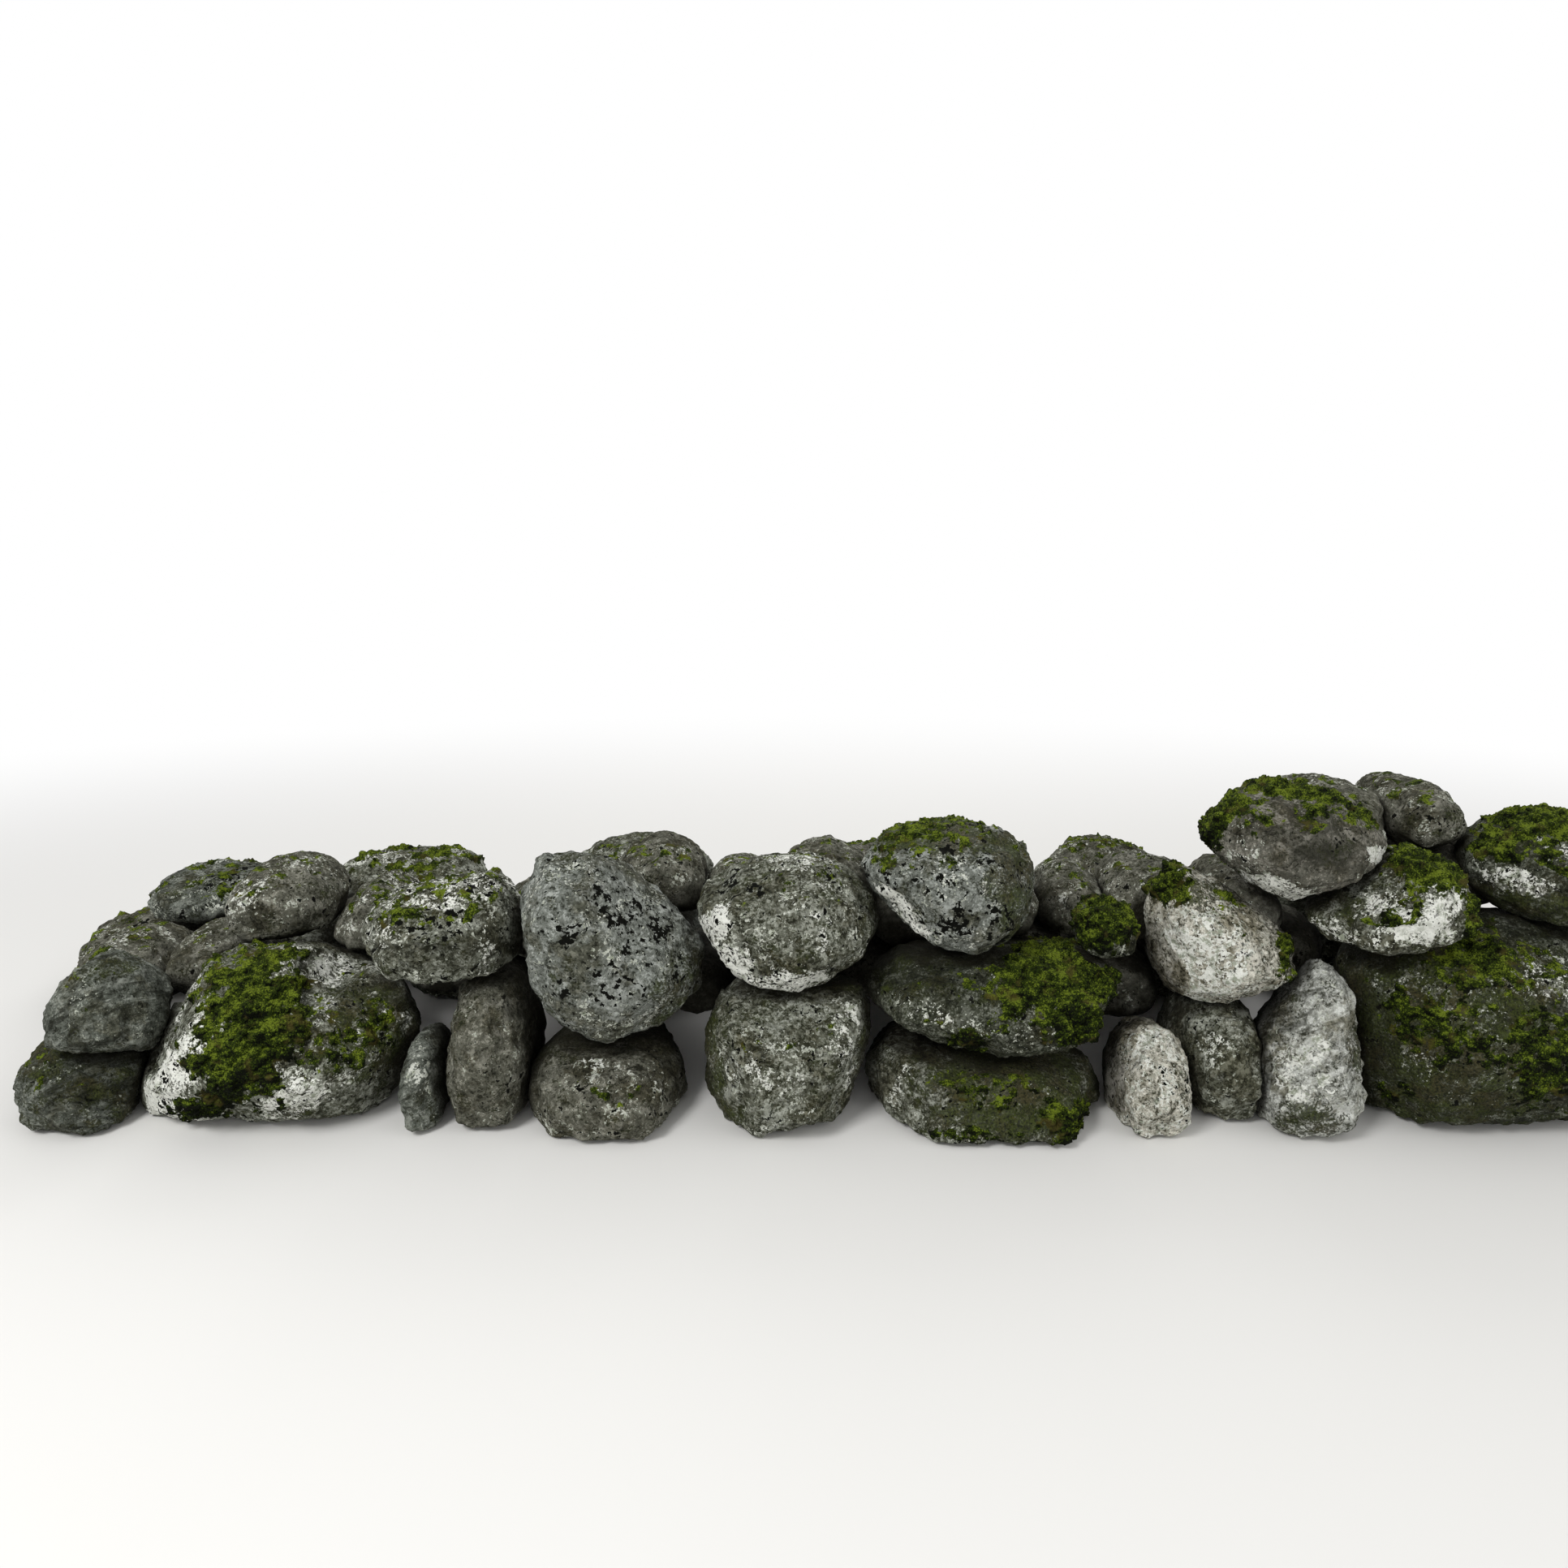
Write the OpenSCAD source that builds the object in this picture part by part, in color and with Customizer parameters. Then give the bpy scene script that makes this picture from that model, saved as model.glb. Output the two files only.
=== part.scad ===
// A run of dry stone wall: rough boulders laid without mortar in two faces, with
// small hearting stones between them. +X runs along the wall, the front face looks
// towards -Y, and the origin is on the ground under the middle of the run.

/* [Wall] */
// Thickness of the wall at its foot, from face to face
wall_w = 1150; // [1050:10:1300]
// Depth of an ordinary foot stone, from its face to its tail
foot_depth = 430; // [360:10:480]
// Depth of an ordinary stone laid on others
cap_depth = 400; // [330:10:450]
// How far two stones bear into each other where they touch
bite = 14; // [8:2:30]
// How much of a foot stone's underside is trimmed level
sunk = 50; // [10:2:70]
// How far the back face starts to the left of the front face
stagger = 270; // [0:10:400]
// Squareness of the stones: a low number is a ball, a high one a block
square = 20; // [12:1:26]
// Corners of a stone's outline as it is cut
corners = 14; // [12:2:20]
// Rings of corners from a stone's face to its tail
rings = 7; // [6:1:10]
// Broken shoulders round the face of a stone, where its edges have split away
shoulders = 4; // [3:1:8]
// How far the most broken shoulder is broken in, in hundredths of the stone
broken = 16; // [4:1:20]

/* [Front foot stones: width, height] */
// Dark layered stone at the left end
left_foot_size = [340, 240]; // [200:10:700]
// Broad boulder under a cushion of moss
mossy_boulder_size = [730, 435]; // [300:10:900]
// Narrow bluish chock beside the boulder
blue_chock_size = [115, 260]; // [90:5:400]
// Stone that carries the lichen block
block_foot_size = [230, 405]; // [180:5:500]
// Low stone that carries the speckled boulder
speckled_foot_size = [400, 225]; // [200:10:600]
// Mottled stone that carries the round capstone
round_foot_size = [410, 365]; // [250:5:600]
// Long slab under the mossy ledge
ledge_slab_size = [580, 230]; // [200:5:800]
// Small white stone by the slab
white_chock_size = [190, 275]; // [150:5:400]
// Stone that carries the pale granite
pale_foot_size = [230, 315]; // [180:5:500]
// Upright stone with a pointed head
pointed_stone_size = [250, 465]; // [200:5:600]
// Dark boulder at the right end
dark_boulder_size = [680, 530]; // [300:10:900]
// Last foot stone at the right end
right_foot_size = [290, 425]; // [200:10:600]

/* [Front upper stones: width, height] */
// Smooth stone at the left end
left_cap_size = [280, 240]; // [180:5:500]
// Square block crusted with lichen
lichen_block_size = [390, 240]; // [200:5:500]
// Flat-faced boulder with dark speckles
speckled_boulder_size = [435, 485]; // [250:5:600]
// Egg-shaped capstone
round_cap_size = [440, 320]; // [250:5:600]
// Long stone with the moss cushion
mossy_ledge_size = [605, 240]; // [200:5:800]
// Capstone under brown moss
brown_cap_size = [420, 300]; // [180:5:600]
// Small knob behind the ledge
moss_knob_size = [150, 140]; // [90:5:300]
// Pale coarse granite
pale_granite_size = [370, 340]; // [200:5:500]
// Stone with white patches
patched_stone_size = [375, 235]; // [180:5:500]
// Highest capstone, rimmed with moss
high_cap_size = [430, 290]; // [180:5:600]
// Capstone at the right end
right_cap_size = [480, 260]; // [180:5:700]

/* [Back stones: width, height] */
// First foot stone of the back face, at its left end
back_foot_1_size = [450, 260]; // [250:10:700]
// Second foot stone of the back face
back_foot_2_size = [560, 310]; // [250:10:700]
// Third foot stone of the back face
back_foot_3_size = [470, 280]; // [250:10:700]
// Fourth foot stone of the back face
back_foot_4_size = [550, 330]; // [250:10:700]
// Fifth foot stone of the back face
back_foot_5_size = [500, 290]; // [250:10:700]
// Sixth foot stone of the back face
back_foot_6_size = [620, 340]; // [250:10:700]
// Seventh foot stone of the back face
back_foot_7_size = [480, 300]; // [250:10:700]
// Last foot stone of the back face, at its right end
back_foot_8_size = [640, 350]; // [250:10:700]
// Stone over the joint of the first two back foot stones
back_cap_1_size = [380, 150]; // [150:5:500]
// Stone over the joint of the second and third
back_cap_2_size = [460, 190]; // [150:5:500]
// Stone over the joint of the fourth and fifth
back_cap_3_size = [430, 185]; // [150:5:500]
// Stone over the joint of the fifth and sixth
back_cap_4_size = [470, 205]; // [150:5:500]
// Stone over the joint of the sixth and seventh
back_cap_5_size = [440, 190]; // [150:5:500]
// Stone over the joint of the last two
back_cap_6_size = [500, 210]; // [150:5:500]

/* [Hearting] */
// Width and height of the larger stones packed between the faces
heart_large = [270, 200]; // [160:5:300]
// Width and height of the smaller ones
heart_small = [200, 160]; // [140:5:260]
// How far a hearting stone reaches over the tails of the face stones
heart_bear = 60; // [30:5:90]
// Distance along the wall from one hearting stone to the next
heart_pitch = 215; // [180:5:280]

/* [Hidden] */
NODES = ["left_foot_stone", "mossy_boulder", "blue_chock", "lichen_block_foot",
    "speckled_boulder_foot", "round_capstone_foot", "ledge_slab", "white_chock",
    "pale_granite_foot", "pointed_stone", "dark_boulder", "right_foot_stone",
    "left_capstone", "lichen_block", "speckled_boulder", "round_capstone",
    "mossy_ledge", "brown_capstone", "moss_knob", "pale_granite", "patched_stone",
    "high_capstone", "right_capstone", "back_foot_1", "back_foot_2", "back_foot_3",
    "back_foot_4", "back_foot_5", "back_foot_6", "back_foot_7", "back_foot_8",
    "back_capstone_1", "back_capstone_2", "back_capstone_3", "back_capstone_4",
    "back_capstone_5", "back_capstone_6", "hearting_1", "hearting_2", "hearting_3",
    "hearting_4"];

// Stone colours
granite = "#8f8f86";
pale = "#b9b7aa";
dark = "#5c5f55";
slate = "#76807c";
mossy = "#5f6b3c";
crusted = "#9d9c8e";

// Outlines as the face shows them, in hundredths of width and height from the
// middle, listed from the left over the top
dome = [[-50, -5], [-38, 32], [-8, 50], [25, 44], [48, 15], [50, -20], [34, -48], [-10, -50], [-42, -38]];
block = [[-50, 20], [-38, 46], [10, 50], [46, 42], [50, -10], [44, -46], [0, -50], [-46, -42]];
slab = [[-50, 8], [-34, 44], [12, 50], [44, 32], [50, -14], [30, -46], [-14, -50], [-45, -30]];
wedge = [[-50, -30], [-22, 34], [4, 50], [30, 38], [50, -8], [44, -48], [-12, -50], [-44, -46]];
shard = [[-50, -10], [-30, 40], [8, 50], [44, 22], [50, -24], [16, -50], [-34, -44]];

left_foot_form = [[-50, 0], [-40, 32], [-18, 48], [14, 46], [50, 30], [48, -8], [34, -50], [-40, -50]];
mossy_boulder_form = [[-50, -36], [-14, 45], [-1, 50], [14, 46], [44, 24], [50, 8], [46, -20], [40, -50],
    [-40, -50]];
chock_form = [[-50, 0], [-30, 40], [4, 50], [40, 34], [50, -20], [40, -50], [-42, -50]];
speckled_foot_form = [[-50, 0], [-38, 40], [0, 50], [40, 42], [50, 0], [44, -50], [-44, -50]];
round_foot_form = [[-50, -22], [-47, 34], [-40, 50], [42, 50], [50, 38], [44, 10], [38, -26], [24, -50],
    [-42, -50]];
ledge_slab_form = [[-50, 16], [-44, 48], [14, 46], [44, 20], [50, -22], [45, -50], [-42, -50]];
pointed_form = [[-50, -8], [8, 50], [20, 48], [50, -12], [42, -50], [-36, -50], [-46, -30]];
dark_boulder_form = [[-50, -16], [-46, 28], [-30, 46], [10, 50], [40, 42], [50, 6], [46, -50], [-44, -50]];

left_cap_form = [[-50, -22], [-40, 6], [-22, 42], [4, 50], [26, 40], [50, -10], [44, -50], [-4, -44],
    [-38, -36]];
lichen_block_form = [[-50, 0], [-40, 28], [-22, 40], [46, 50], [50, -36], [8, -50], [-32, -42]];
speckled_form = [[-50, 34], [-40, 47], [-12, 50], [0, 48], [30, 20], [50, -4], [50, -14], [28, -36],
    [-8, -50], [-34, -38], [-48, -18]];
round_cap_form = [[-50, 26], [-22, 46], [6, 50], [24, 44], [44, 28], [50, 0], [46, -16], [14, -50],
    [-2, -50], [-30, -40], [-48, -4]];
mossy_ledge_form = [[-50, 15], [-36, 44], [28, 50], [47, 42], [50, 12], [46, -20], [14, -46], [0, -50],
    [-14, -44], [-44, -13]];
brown_cap_form = [[-50, 16], [-36, 38], [4, 50], [22, 49], [47, 36], [50, -12], [40, -42], [24, -50],
    [4, -50], [-18, -38], [-40, -6]];
pale_granite_form = [[-50, 30], [-36, 50], [-18, 44], [47, 0], [50, -12], [18, -42], [-4, -50],
    [-28, -47], [-45, -38]];
patched_form = [[-50, -20], [-14, 20], [10, 49], [24, 50], [38, 28], [50, 6], [47, -20], [28, -38],
    [-4, -50], [-36, -45]];
high_cap_form = [[-50, -6], [-47, 25], [-27, 45], [-8, 50], [38, 30], [50, -6], [18, -36], [4, -48],
    [-18, -50], [-34, -27]];
right_cap_form = [[-50, 0], [-42, 30], [-15, 48], [20, 50], [45, 30], [50, -10], [35, -45], [-10, -50],
    [-40, -38]];

// One row for each foot stone: name, colour, size, outline, [turn, lean] of its
// face in degrees, how much deeper it is than the ordinary one, set-back from the
// face line, and the gap to the stone before it
front_feet = [
    ["left_foot_stone", slate, left_foot_size, left_foot_form, [-14, 16], -40, 50, 0],
    ["mossy_boulder", mossy, mossy_boulder_size, mossy_boulder_form, [-4, 30], 110, 0, -118],
    ["blue_chock", slate, blue_chock_size, chock_form, [10, 10], -150, 60, -20],
    ["lichen_block_foot", dark, block_foot_size, chock_form, [0, 12], 0, 60, -25],
    ["speckled_boulder_foot", dark, speckled_foot_size, speckled_foot_form, [-6, 14], 20, 20, -50],
    ["round_capstone_foot", granite, round_foot_size, round_foot_form, [8, 8], 10, 20, 40],
    ["ledge_slab", granite, ledge_slab_size, ledge_slab_form, [-6, 12], 60, 0, -20],
    ["white_chock", pale, white_chock_size, chock_form, [6, 24], -100, 30, -5],
    ["pale_granite_foot", granite, pale_foot_size, chock_form, [0, 14], -30, 90, -25],
    ["pointed_stone", granite, pointed_stone_size, pointed_form, [12, 14], -80, 10, -60],
    ["dark_boulder", mossy, dark_boulder_size, dark_boulder_form, [4, 16], 110, 0, -20],
    ["right_foot_stone", dark, right_foot_size, block, [16, 12], 0, 30, -40],
];
back_feet = [
    ["back_foot_1", dark, back_foot_1_size, slab, [-10, 14], -20, 30, 0],
    ["back_foot_2", granite, back_foot_2_size, wedge, [6, 18], 20, 0, -30],
    ["back_foot_3", mossy, back_foot_3_size, block, [-4, 10], 0, 20, -20],
    ["back_foot_4", granite, back_foot_4_size, dome, [8, 16], 20, 0, -25],
    ["back_foot_5", dark, back_foot_5_size, block, [-8, 12], -10, 25, -20],
    ["back_foot_6", crusted, back_foot_6_size, slab, [4, 20], 20, 0, -30],
    ["back_foot_7", granite, back_foot_7_size, wedge, [-6, 10], 0, 20, -20],
    ["back_foot_8", mossy, back_foot_8_size, dome, [10, 16], 30, 10, -30],
];

// One row for each stone laid on others: name, colour, size, outline, [turn, lean],
// extra depth, set-back, how far it sits to the right of the first stone that
// carries it, and the stones that carry it
front_caps = [
    ["left_capstone", slate, left_cap_size, left_cap_form, [-12, 20], -80, 60, 60, ["left_foot_stone"]],
    ["lichen_block", crusted, lichen_block_size, lichen_block_form, [-6, 14], -20, 90, -105,
        ["lichen_block_foot", "blue_chock"]],
    ["speckled_boulder", granite, speckled_boulder_size, speckled_form, [10, 14], 30, 50, 32,
        ["speckled_boulder_foot"]],
    ["round_capstone", crusted, round_cap_size, round_cap_form, [2, 22], 30, 80, 0,
        ["round_capstone_foot"]],
    ["mossy_ledge", mossy, mossy_ledge_size, mossy_ledge_form, [-4, 18], 80, 20, 10, ["ledge_slab"]],
    ["brown_capstone", crusted, brown_cap_size, brown_cap_form, [-6, 18], 30, 110, -108,
        ["mossy_ledge"]],
    ["moss_knob", mossy, moss_knob_size, dome, [8, 24], -200, 170, 262, ["mossy_ledge"]],
    ["pale_granite", pale, pale_granite_size, pale_granite_form, [-8, 22], 0, 130, 10,
        ["pale_granite_foot", "white_chock"]],
    ["patched_stone", crusted, patched_stone_size, patched_form, [6, 16], 0, 60, -275,
        ["dark_boulder", "pointed_stone"]],
    ["high_capstone", granite, high_cap_size, high_cap_form, [-10, 20], 30, 130, 147,
        ["pale_granite", "patched_stone"]],
    ["right_capstone", mossy, right_cap_size, right_cap_form, [8, 20], 60, 90, 190,
        ["dark_boulder", "right_foot_stone"]],
];
back_caps = [
    ["back_capstone_1", slate, back_cap_1_size, slab, [-6, 20], -50, 50, 190,
        ["back_foot_1", "back_foot_2"]],
    ["back_capstone_2", granite, back_cap_2_size, block, [8, 16], -20, 50, 300,
        ["back_foot_2", "back_foot_3"]],
    ["back_capstone_3", crusted, back_cap_3_size, dome, [-8, 20], 0, 60, 10,
        ["back_foot_4", "back_foot_5"]],
    ["back_capstone_4", granite, back_cap_4_size, slab, [6, 18], 0, 70, 230,
        ["back_foot_5", "back_foot_6"]],
    ["back_capstone_5", dark, back_cap_5_size, wedge, [-6, 16], 0, 60, 350,
        ["back_foot_6", "back_foot_7"]],
    ["back_capstone_6", crusted, back_cap_6_size, block, [8, 20], 0, 70, -20,
        ["back_foot_8", "back_foot_7"]],
];

// Hollows broken into a stone's face: name, then middle and size in hundredths of
// the stone
hollows = [
    ["mossy_boulder", [23, 0, 48], [20, 220, 44]],
    ["left_capstone", [-19, -46, 2], [8, 20, 70]],
];

// Hearting stones take these colours and outlines in turn
heart_colours = [granite, slate, pale, crusted, dark];
heart_forms = [shard, block, dome, wedge, slab];
heart_nodes = 4;
// The upper layer of hearting starts over this stone of the lower one
upper_from = 6;

// Fixed proportions of every stone
flare = 20;
tail_lean = 14;
face_reach = 46;
tail_reach = 48;
face_in = 30;
shoulder_reach = 63;
shoulder_lean = 28;
front = 1;
back = -1;

// Directions in which two stones may part, all round the ball
way_step = 15;
ways = [for (el = [-90:way_step:90]) for (az = [0:way_step:360 - way_step])
    if (abs(el) < 90 || az == 0) heading(az, el)];
up_ways = [for (n = ways) if (n[2] > 0.3) n];

function heading(az, el) = [sin(az) * cos(el), -cos(az) * cos(el), sin(el)];
function total(list) = list * [for (x = list) 1];
function column(points, k) = [for (p = points) p[k]];
function reach(points, n) = max(points * n);

// Flat facets that bound a stone: two along each edge of its outline, leaning
// towards the face and the tail, and two across each end
function edge_facets(form) = [for (k = [0:len(form) - 1])
    let (a = form[k], t = form[(k + 1) % len(form)] - a, n = [-t[1], t[0]] / norm(t))
    each [for (s = [-1, 1])
        [[n[0] * cos(flare), s * sin(flare), n[1] * cos(flare)], n * a * cos(flare)]]];
function end_facets(lean) = [
    [heading(lean[0], lean[1]), face_reach],
    [heading(lean[0] / 2, -lean[1]), face_reach],
    [heading(180 - lean[0], tail_lean), tail_reach],
    [heading(180 + lean[0], -tail_lean), tail_reach]];

// Broken shoulders stand between a stone's end and its sides, spaced round it, each
// stone's by its own seeded draw
function broken_facets(seed, end, count) =
    let (step = 360 / count, draw = rands(0, 1, 3 * count, seed))
    [for (i = [0:count - 1])
        let (turn = step * (i + 0.6 * draw[3 * i]), lean = shoulder_lean + 26 * draw[3 * i + 1])
        [[cos(turn) * cos(lean), end * sin(lean), sin(turn) * cos(lean)],
            shoulder_reach - broken * draw[3 * i + 2]]];

// The facets run into each other as a rounded body, drawn as rings of corners
function surface_at(facets, u) =
    u * pow(total([for (f = facets) pow(max(0, f[0] * u) / f[1], square)]), -1 / square);
function rounded(facets, rings, corners) =
    [for (i = [0:rings + 1]) let (polar = 180 * i / (rings + 1))
        for (j = [0:corners - 1]) if (j == 0 || (i > 0 && i <= rings))
            let (turn = 360 * j / corners)
                surface_at(facets, [sin(polar) * cos(turn), -cos(polar), sin(polar) * sin(turn)])];
function fitted(points, size) =
    let (lo = [for (k = [0:2]) min(column(points, k))], hi = [for (k = [0:2]) max(column(points, k))])
    [for (p = points) [for (k = [0:2]) (p[k] - (lo[k] + hi[k]) / 2) * size[k] / (hi[k] - lo[k])]];
function turned(points, side) = side == front ? points : [for (p = points) [-p[0], -p[1], p[2]]];

// Triangles of such a body
function around(i, j, corners) = 1 + (i - 1) * corners + j % corners;
function triangles(rings, corners) = let (last = 1 + rings * corners) concat(
    [for (j = [0:corners - 1]) [0, around(1, j + 1, corners), around(1, j, corners)]],
    [for (i = [1:rings - 1]) for (j = [0:corners - 1])
        let (a = around(i, j, corners), b = around(i + 1, j, corners),
            c = around(i, j + 1, corners), d = around(i + 1, j + 1, corners))
        each [[a, c, b], [c, d, b]]],
    [for (j = [0:corners - 1])
        [last, around(rings, j, corners), around(rings, j + 1, corners)]]);
big_mesh = triangles(rings, corners);
small_rings = rings - 3;
small_corners = corners - 5;
small_mesh = triangles(small_rings, small_corners);

// A stone: name, colour, size, middle, corners about its middle, triangles, whether
// it stands on the ground
function made(row, depth, side) =
    let (size = [row[2][0], depth + row[5], row[2][1]], seed = search([row[0]], NODES)[0])
    [row[0], row[1], size, [0, 0, 0],
        turned(fitted(rounded(concat(edge_facets(row[3]), end_facets(row[4]), broken_facets(seed, -1, shoulders),
            broken_facets(seed + 50, 1, shoulders)), rings, corners), size), side),
        big_mesh, false];
function put(s, at, grounded) = [s[0], s[1], s[2], at, s[4], s[5], grounded];
function face_y(s, set_back, side) = side * (set_back + s[2][1] / 2 - wall_w / 2);
function foot_row(rows, side, x, k = 0) = k == len(rows) ? [] :
    let (row = rows[k], s = made(row, foot_depth, side), left = x + row[7], w = s[2][0])
    concat([put(s, [left + w / 2, face_y(s, row[6], side), s[2][2] / 2 - sunk], true)],
        foot_row(rows, side, left + w, k + 1));

// A stone comes down on those that carry it until it bears on the highest
function find(laid, name) = [for (s = laid) if (s[0] == name) s][0];
function drop(under, x, y, points) = under[3][2] + min([for (n = up_ways)
    (reach(under[4], n) + reach(points, -n) - n[0] * (x - under[3][0]) - n[1] * (y - under[3][1])) / n[2]]);
function landing(carriers, x, y, points) = max([for (s = carriers) drop(s, x, y, points)]) - bite;
function lay(rows, side, laid, k = 0) = k == len(rows) ? laid :
    let (row = rows[k], s = made(row, cap_depth, side), carriers = [for (name = row[8]) find(laid, name)],
        x = carriers[0][3][0] + row[7], y = face_y(s, row[6], side))
    lay(rows, side, concat(laid, [put(s, [x, y, landing(carriers, x, y, s[4])], false)]), k + 1);

feet = concat(foot_row(front_feet, front, stagger), foot_row(back_feet, back, 0));
faces = lay(back_caps, back, lay(front_caps, front, feet));

// Hearting stones bridge the core between the tails of the face stones
heart_depth = wall_w - 2 * foot_depth + 2 * heart_bear - 2 * face_in;
run_start = max(left_of("left_foot_stone"), left_of("back_foot_1"));
run_end = min(right_of("right_foot_stone"), right_of("back_foot_8"));
function left_of(name) = let (s = find(feet, name)) s[3][0] - s[2][0] / 2;
function right_of(name) = let (s = find(feet, name)) s[3][0] + s[2][0] / 2;
function heart_stone(k, layer, x, carriers) =
    let (pick = k + 2 * layer, wh = pick % 2 == 0 ? heart_large : heart_small,
        size = [wh[0], heart_depth, wh[1]],
        points = fitted(rounded(concat(edge_facets(heart_forms[pick % len(heart_forms)]),
            end_facets([12 * (pick % 3 - 1), 10])), small_rings, small_corners), size),
        y = 12 * ((3 * pick) % 5 - 2),
        under = [for (s = carriers) if (abs(s[3][0] - x) < (s[2][0] + wh[0]) / 2 - bite) s])
    [str("hearting_", 1 + (k + 2 * layer) % heart_nodes), heart_colours[pick % len(heart_colours)], size,
        [x, y, landing(under, x, y, points)], points, small_mesh, false];
heart_count = floor((run_end - run_start) / heart_pitch);
lower_hearts = [for (k = [0:heart_count - 1])
    heart_stone(k, 0, run_start + (k + 0.5) * heart_pitch, feet)];
upper_hearts = [for (k = [upper_from:heart_count - 2])
    heart_stone(k, 1, run_start + (k + 1) * heart_pitch, lower_hearts)];
stones = concat(faces, lower_hearts, upper_hearts);

// The middle of the whole run on the ground
function ends(k, s) = [for (stone = stones) s * max(s * column(stone[4], k)) + stone[3][k]];
middle = [for (k = [0:1]) (min(ends(k, -1)) + max(ends(k, 1))) / 2];

// Where two stones would overlap, both are dressed flat on one bed between them:
// the bed faces the way in which they overlap least
function near(a, b) = min([for (k = [0:2]) (a[2][k] + b[2][k]) / 2 - abs(a[3][k] - b[3][k])]) > 0;
function apart(a, b, n) = n * (b[3] - a[3]) - reach(a[4], n) - reach(b[4], -n);
function bed(a, b) =
    let (gaps = [for (n = ways) apart(a, b, n)], best = max(gaps), n = ways[search(best, gaps)[0]])
    [n, best, a[3] + n * (reach(a[4], n) + best / 2)];

module beyond(at, n, size) {
    translate(at)
        rotate([0, acos(n[2]), atan2(n[1], n[0])])
            translate([-size, -size, 0])
                cube([2 * size, 2 * size, size]);
}

module hollow(s, at, share) {
    size = [for (i = [0:2]) s[2][i] * share[i] / 100];
    translate(s[3] + [for (i = [0:2]) s[2][i] * at[i] / 100])
        polyhedron(fitted(rounded(edge_facets(dome), small_rings, small_corners), size), small_mesh);
}

module stone(k) {
    s = stones[k];
    size = norm(s[2]);
    color(s[1])
        translate([-middle[0], -middle[1], 0])
            difference() {
                translate(s[3])
                    polyhedron(s[4], s[5]);
                for (h = hollows)
                    if (h[0] == s[0])
                        hollow(s, h[1], h[2]);
                if (s[6])
                    beyond([s[3][0], s[3][1], 0], [0, 0, -1], size);
                for (i = [0:len(stones) - 1])
                    if (i != k && near(s, stones[i])) {
                        cut = i < k ? bed(stones[i], s) : bed(s, stones[i]);
                        if (cut[1] < 0)
                            beyond(cut[2], (i < k ? -1 : 1) * cut[0], size);
                    }
            }
}

module stones_named(name) {
    for (k = [0:len(stones) - 1])
        if (stones[k][0] == name)
            stone(k);
}

stones_named("left_foot_stone");  // left_foot_stone
stones_named("mossy_boulder");  // mossy_boulder
stones_named("blue_chock");  // blue_chock
stones_named("lichen_block_foot");  // lichen_block_foot
stones_named("speckled_boulder_foot");  // speckled_boulder_foot
stones_named("round_capstone_foot");  // round_capstone_foot
stones_named("ledge_slab");  // ledge_slab
stones_named("white_chock");  // white_chock
stones_named("pale_granite_foot");  // pale_granite_foot
stones_named("pointed_stone");  // pointed_stone
stones_named("dark_boulder");  // dark_boulder
stones_named("right_foot_stone");  // right_foot_stone
stones_named("left_capstone");  // left_capstone
stones_named("lichen_block");  // lichen_block
stones_named("speckled_boulder");  // speckled_boulder
stones_named("round_capstone");  // round_capstone
stones_named("mossy_ledge");  // mossy_ledge
stones_named("brown_capstone");  // brown_capstone
stones_named("moss_knob");  // moss_knob
stones_named("pale_granite");  // pale_granite
stones_named("patched_stone");  // patched_stone
stones_named("high_capstone");  // high_capstone
stones_named("right_capstone");  // right_capstone
stones_named("back_foot_1");  // back_foot_1
stones_named("back_foot_2");  // back_foot_2
stones_named("back_foot_3");  // back_foot_3
stones_named("back_foot_4");  // back_foot_4
stones_named("back_foot_5");  // back_foot_5
stones_named("back_foot_6");  // back_foot_6
stones_named("back_foot_7");  // back_foot_7
stones_named("back_foot_8");  // back_foot_8
stones_named("back_capstone_1");  // back_capstone_1
stones_named("back_capstone_2");  // back_capstone_2
stones_named("back_capstone_3");  // back_capstone_3
stones_named("back_capstone_4");  // back_capstone_4
stones_named("back_capstone_5");  // back_capstone_5
stones_named("back_capstone_6");  // back_capstone_6
stones_named("hearting_1");  // hearting_1
stones_named("hearting_2");  // hearting_2
stones_named("hearting_3");  // hearting_3
stones_named("hearting_4");  // hearting_4
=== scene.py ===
import math
import random

import bmesh
import bpy
import numpy as np
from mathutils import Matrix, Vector, noise
from mathutils.bvhtree import BVHTree


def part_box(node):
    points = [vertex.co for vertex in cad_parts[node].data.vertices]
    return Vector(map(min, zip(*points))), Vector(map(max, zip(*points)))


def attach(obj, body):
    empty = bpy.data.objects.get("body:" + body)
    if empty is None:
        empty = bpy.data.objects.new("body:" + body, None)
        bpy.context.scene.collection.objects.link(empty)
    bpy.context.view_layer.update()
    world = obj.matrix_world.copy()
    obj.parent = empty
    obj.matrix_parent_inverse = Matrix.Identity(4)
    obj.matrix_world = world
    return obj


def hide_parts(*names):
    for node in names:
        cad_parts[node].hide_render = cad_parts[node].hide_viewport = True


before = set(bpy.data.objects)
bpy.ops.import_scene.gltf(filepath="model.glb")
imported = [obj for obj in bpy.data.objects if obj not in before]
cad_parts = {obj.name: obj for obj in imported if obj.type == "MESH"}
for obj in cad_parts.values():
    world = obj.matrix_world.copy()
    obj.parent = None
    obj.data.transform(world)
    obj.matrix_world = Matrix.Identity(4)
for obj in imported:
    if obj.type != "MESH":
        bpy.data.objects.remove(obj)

scene = bpy.context.scene
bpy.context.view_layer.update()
scene.view_settings.view_transform = "Standard"

# Camera: at eye height, a few steps before the wall

cameraSet = {"place": (-0.08, -2.675, 1.5), "pitch": 16.5, "lens": 24.97, "sensor": 36.0}


def addObject(name, data):
    thing = bpy.data.objects.new(name, data)
    scene.collection.objects.link(thing)
    return thing


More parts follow.
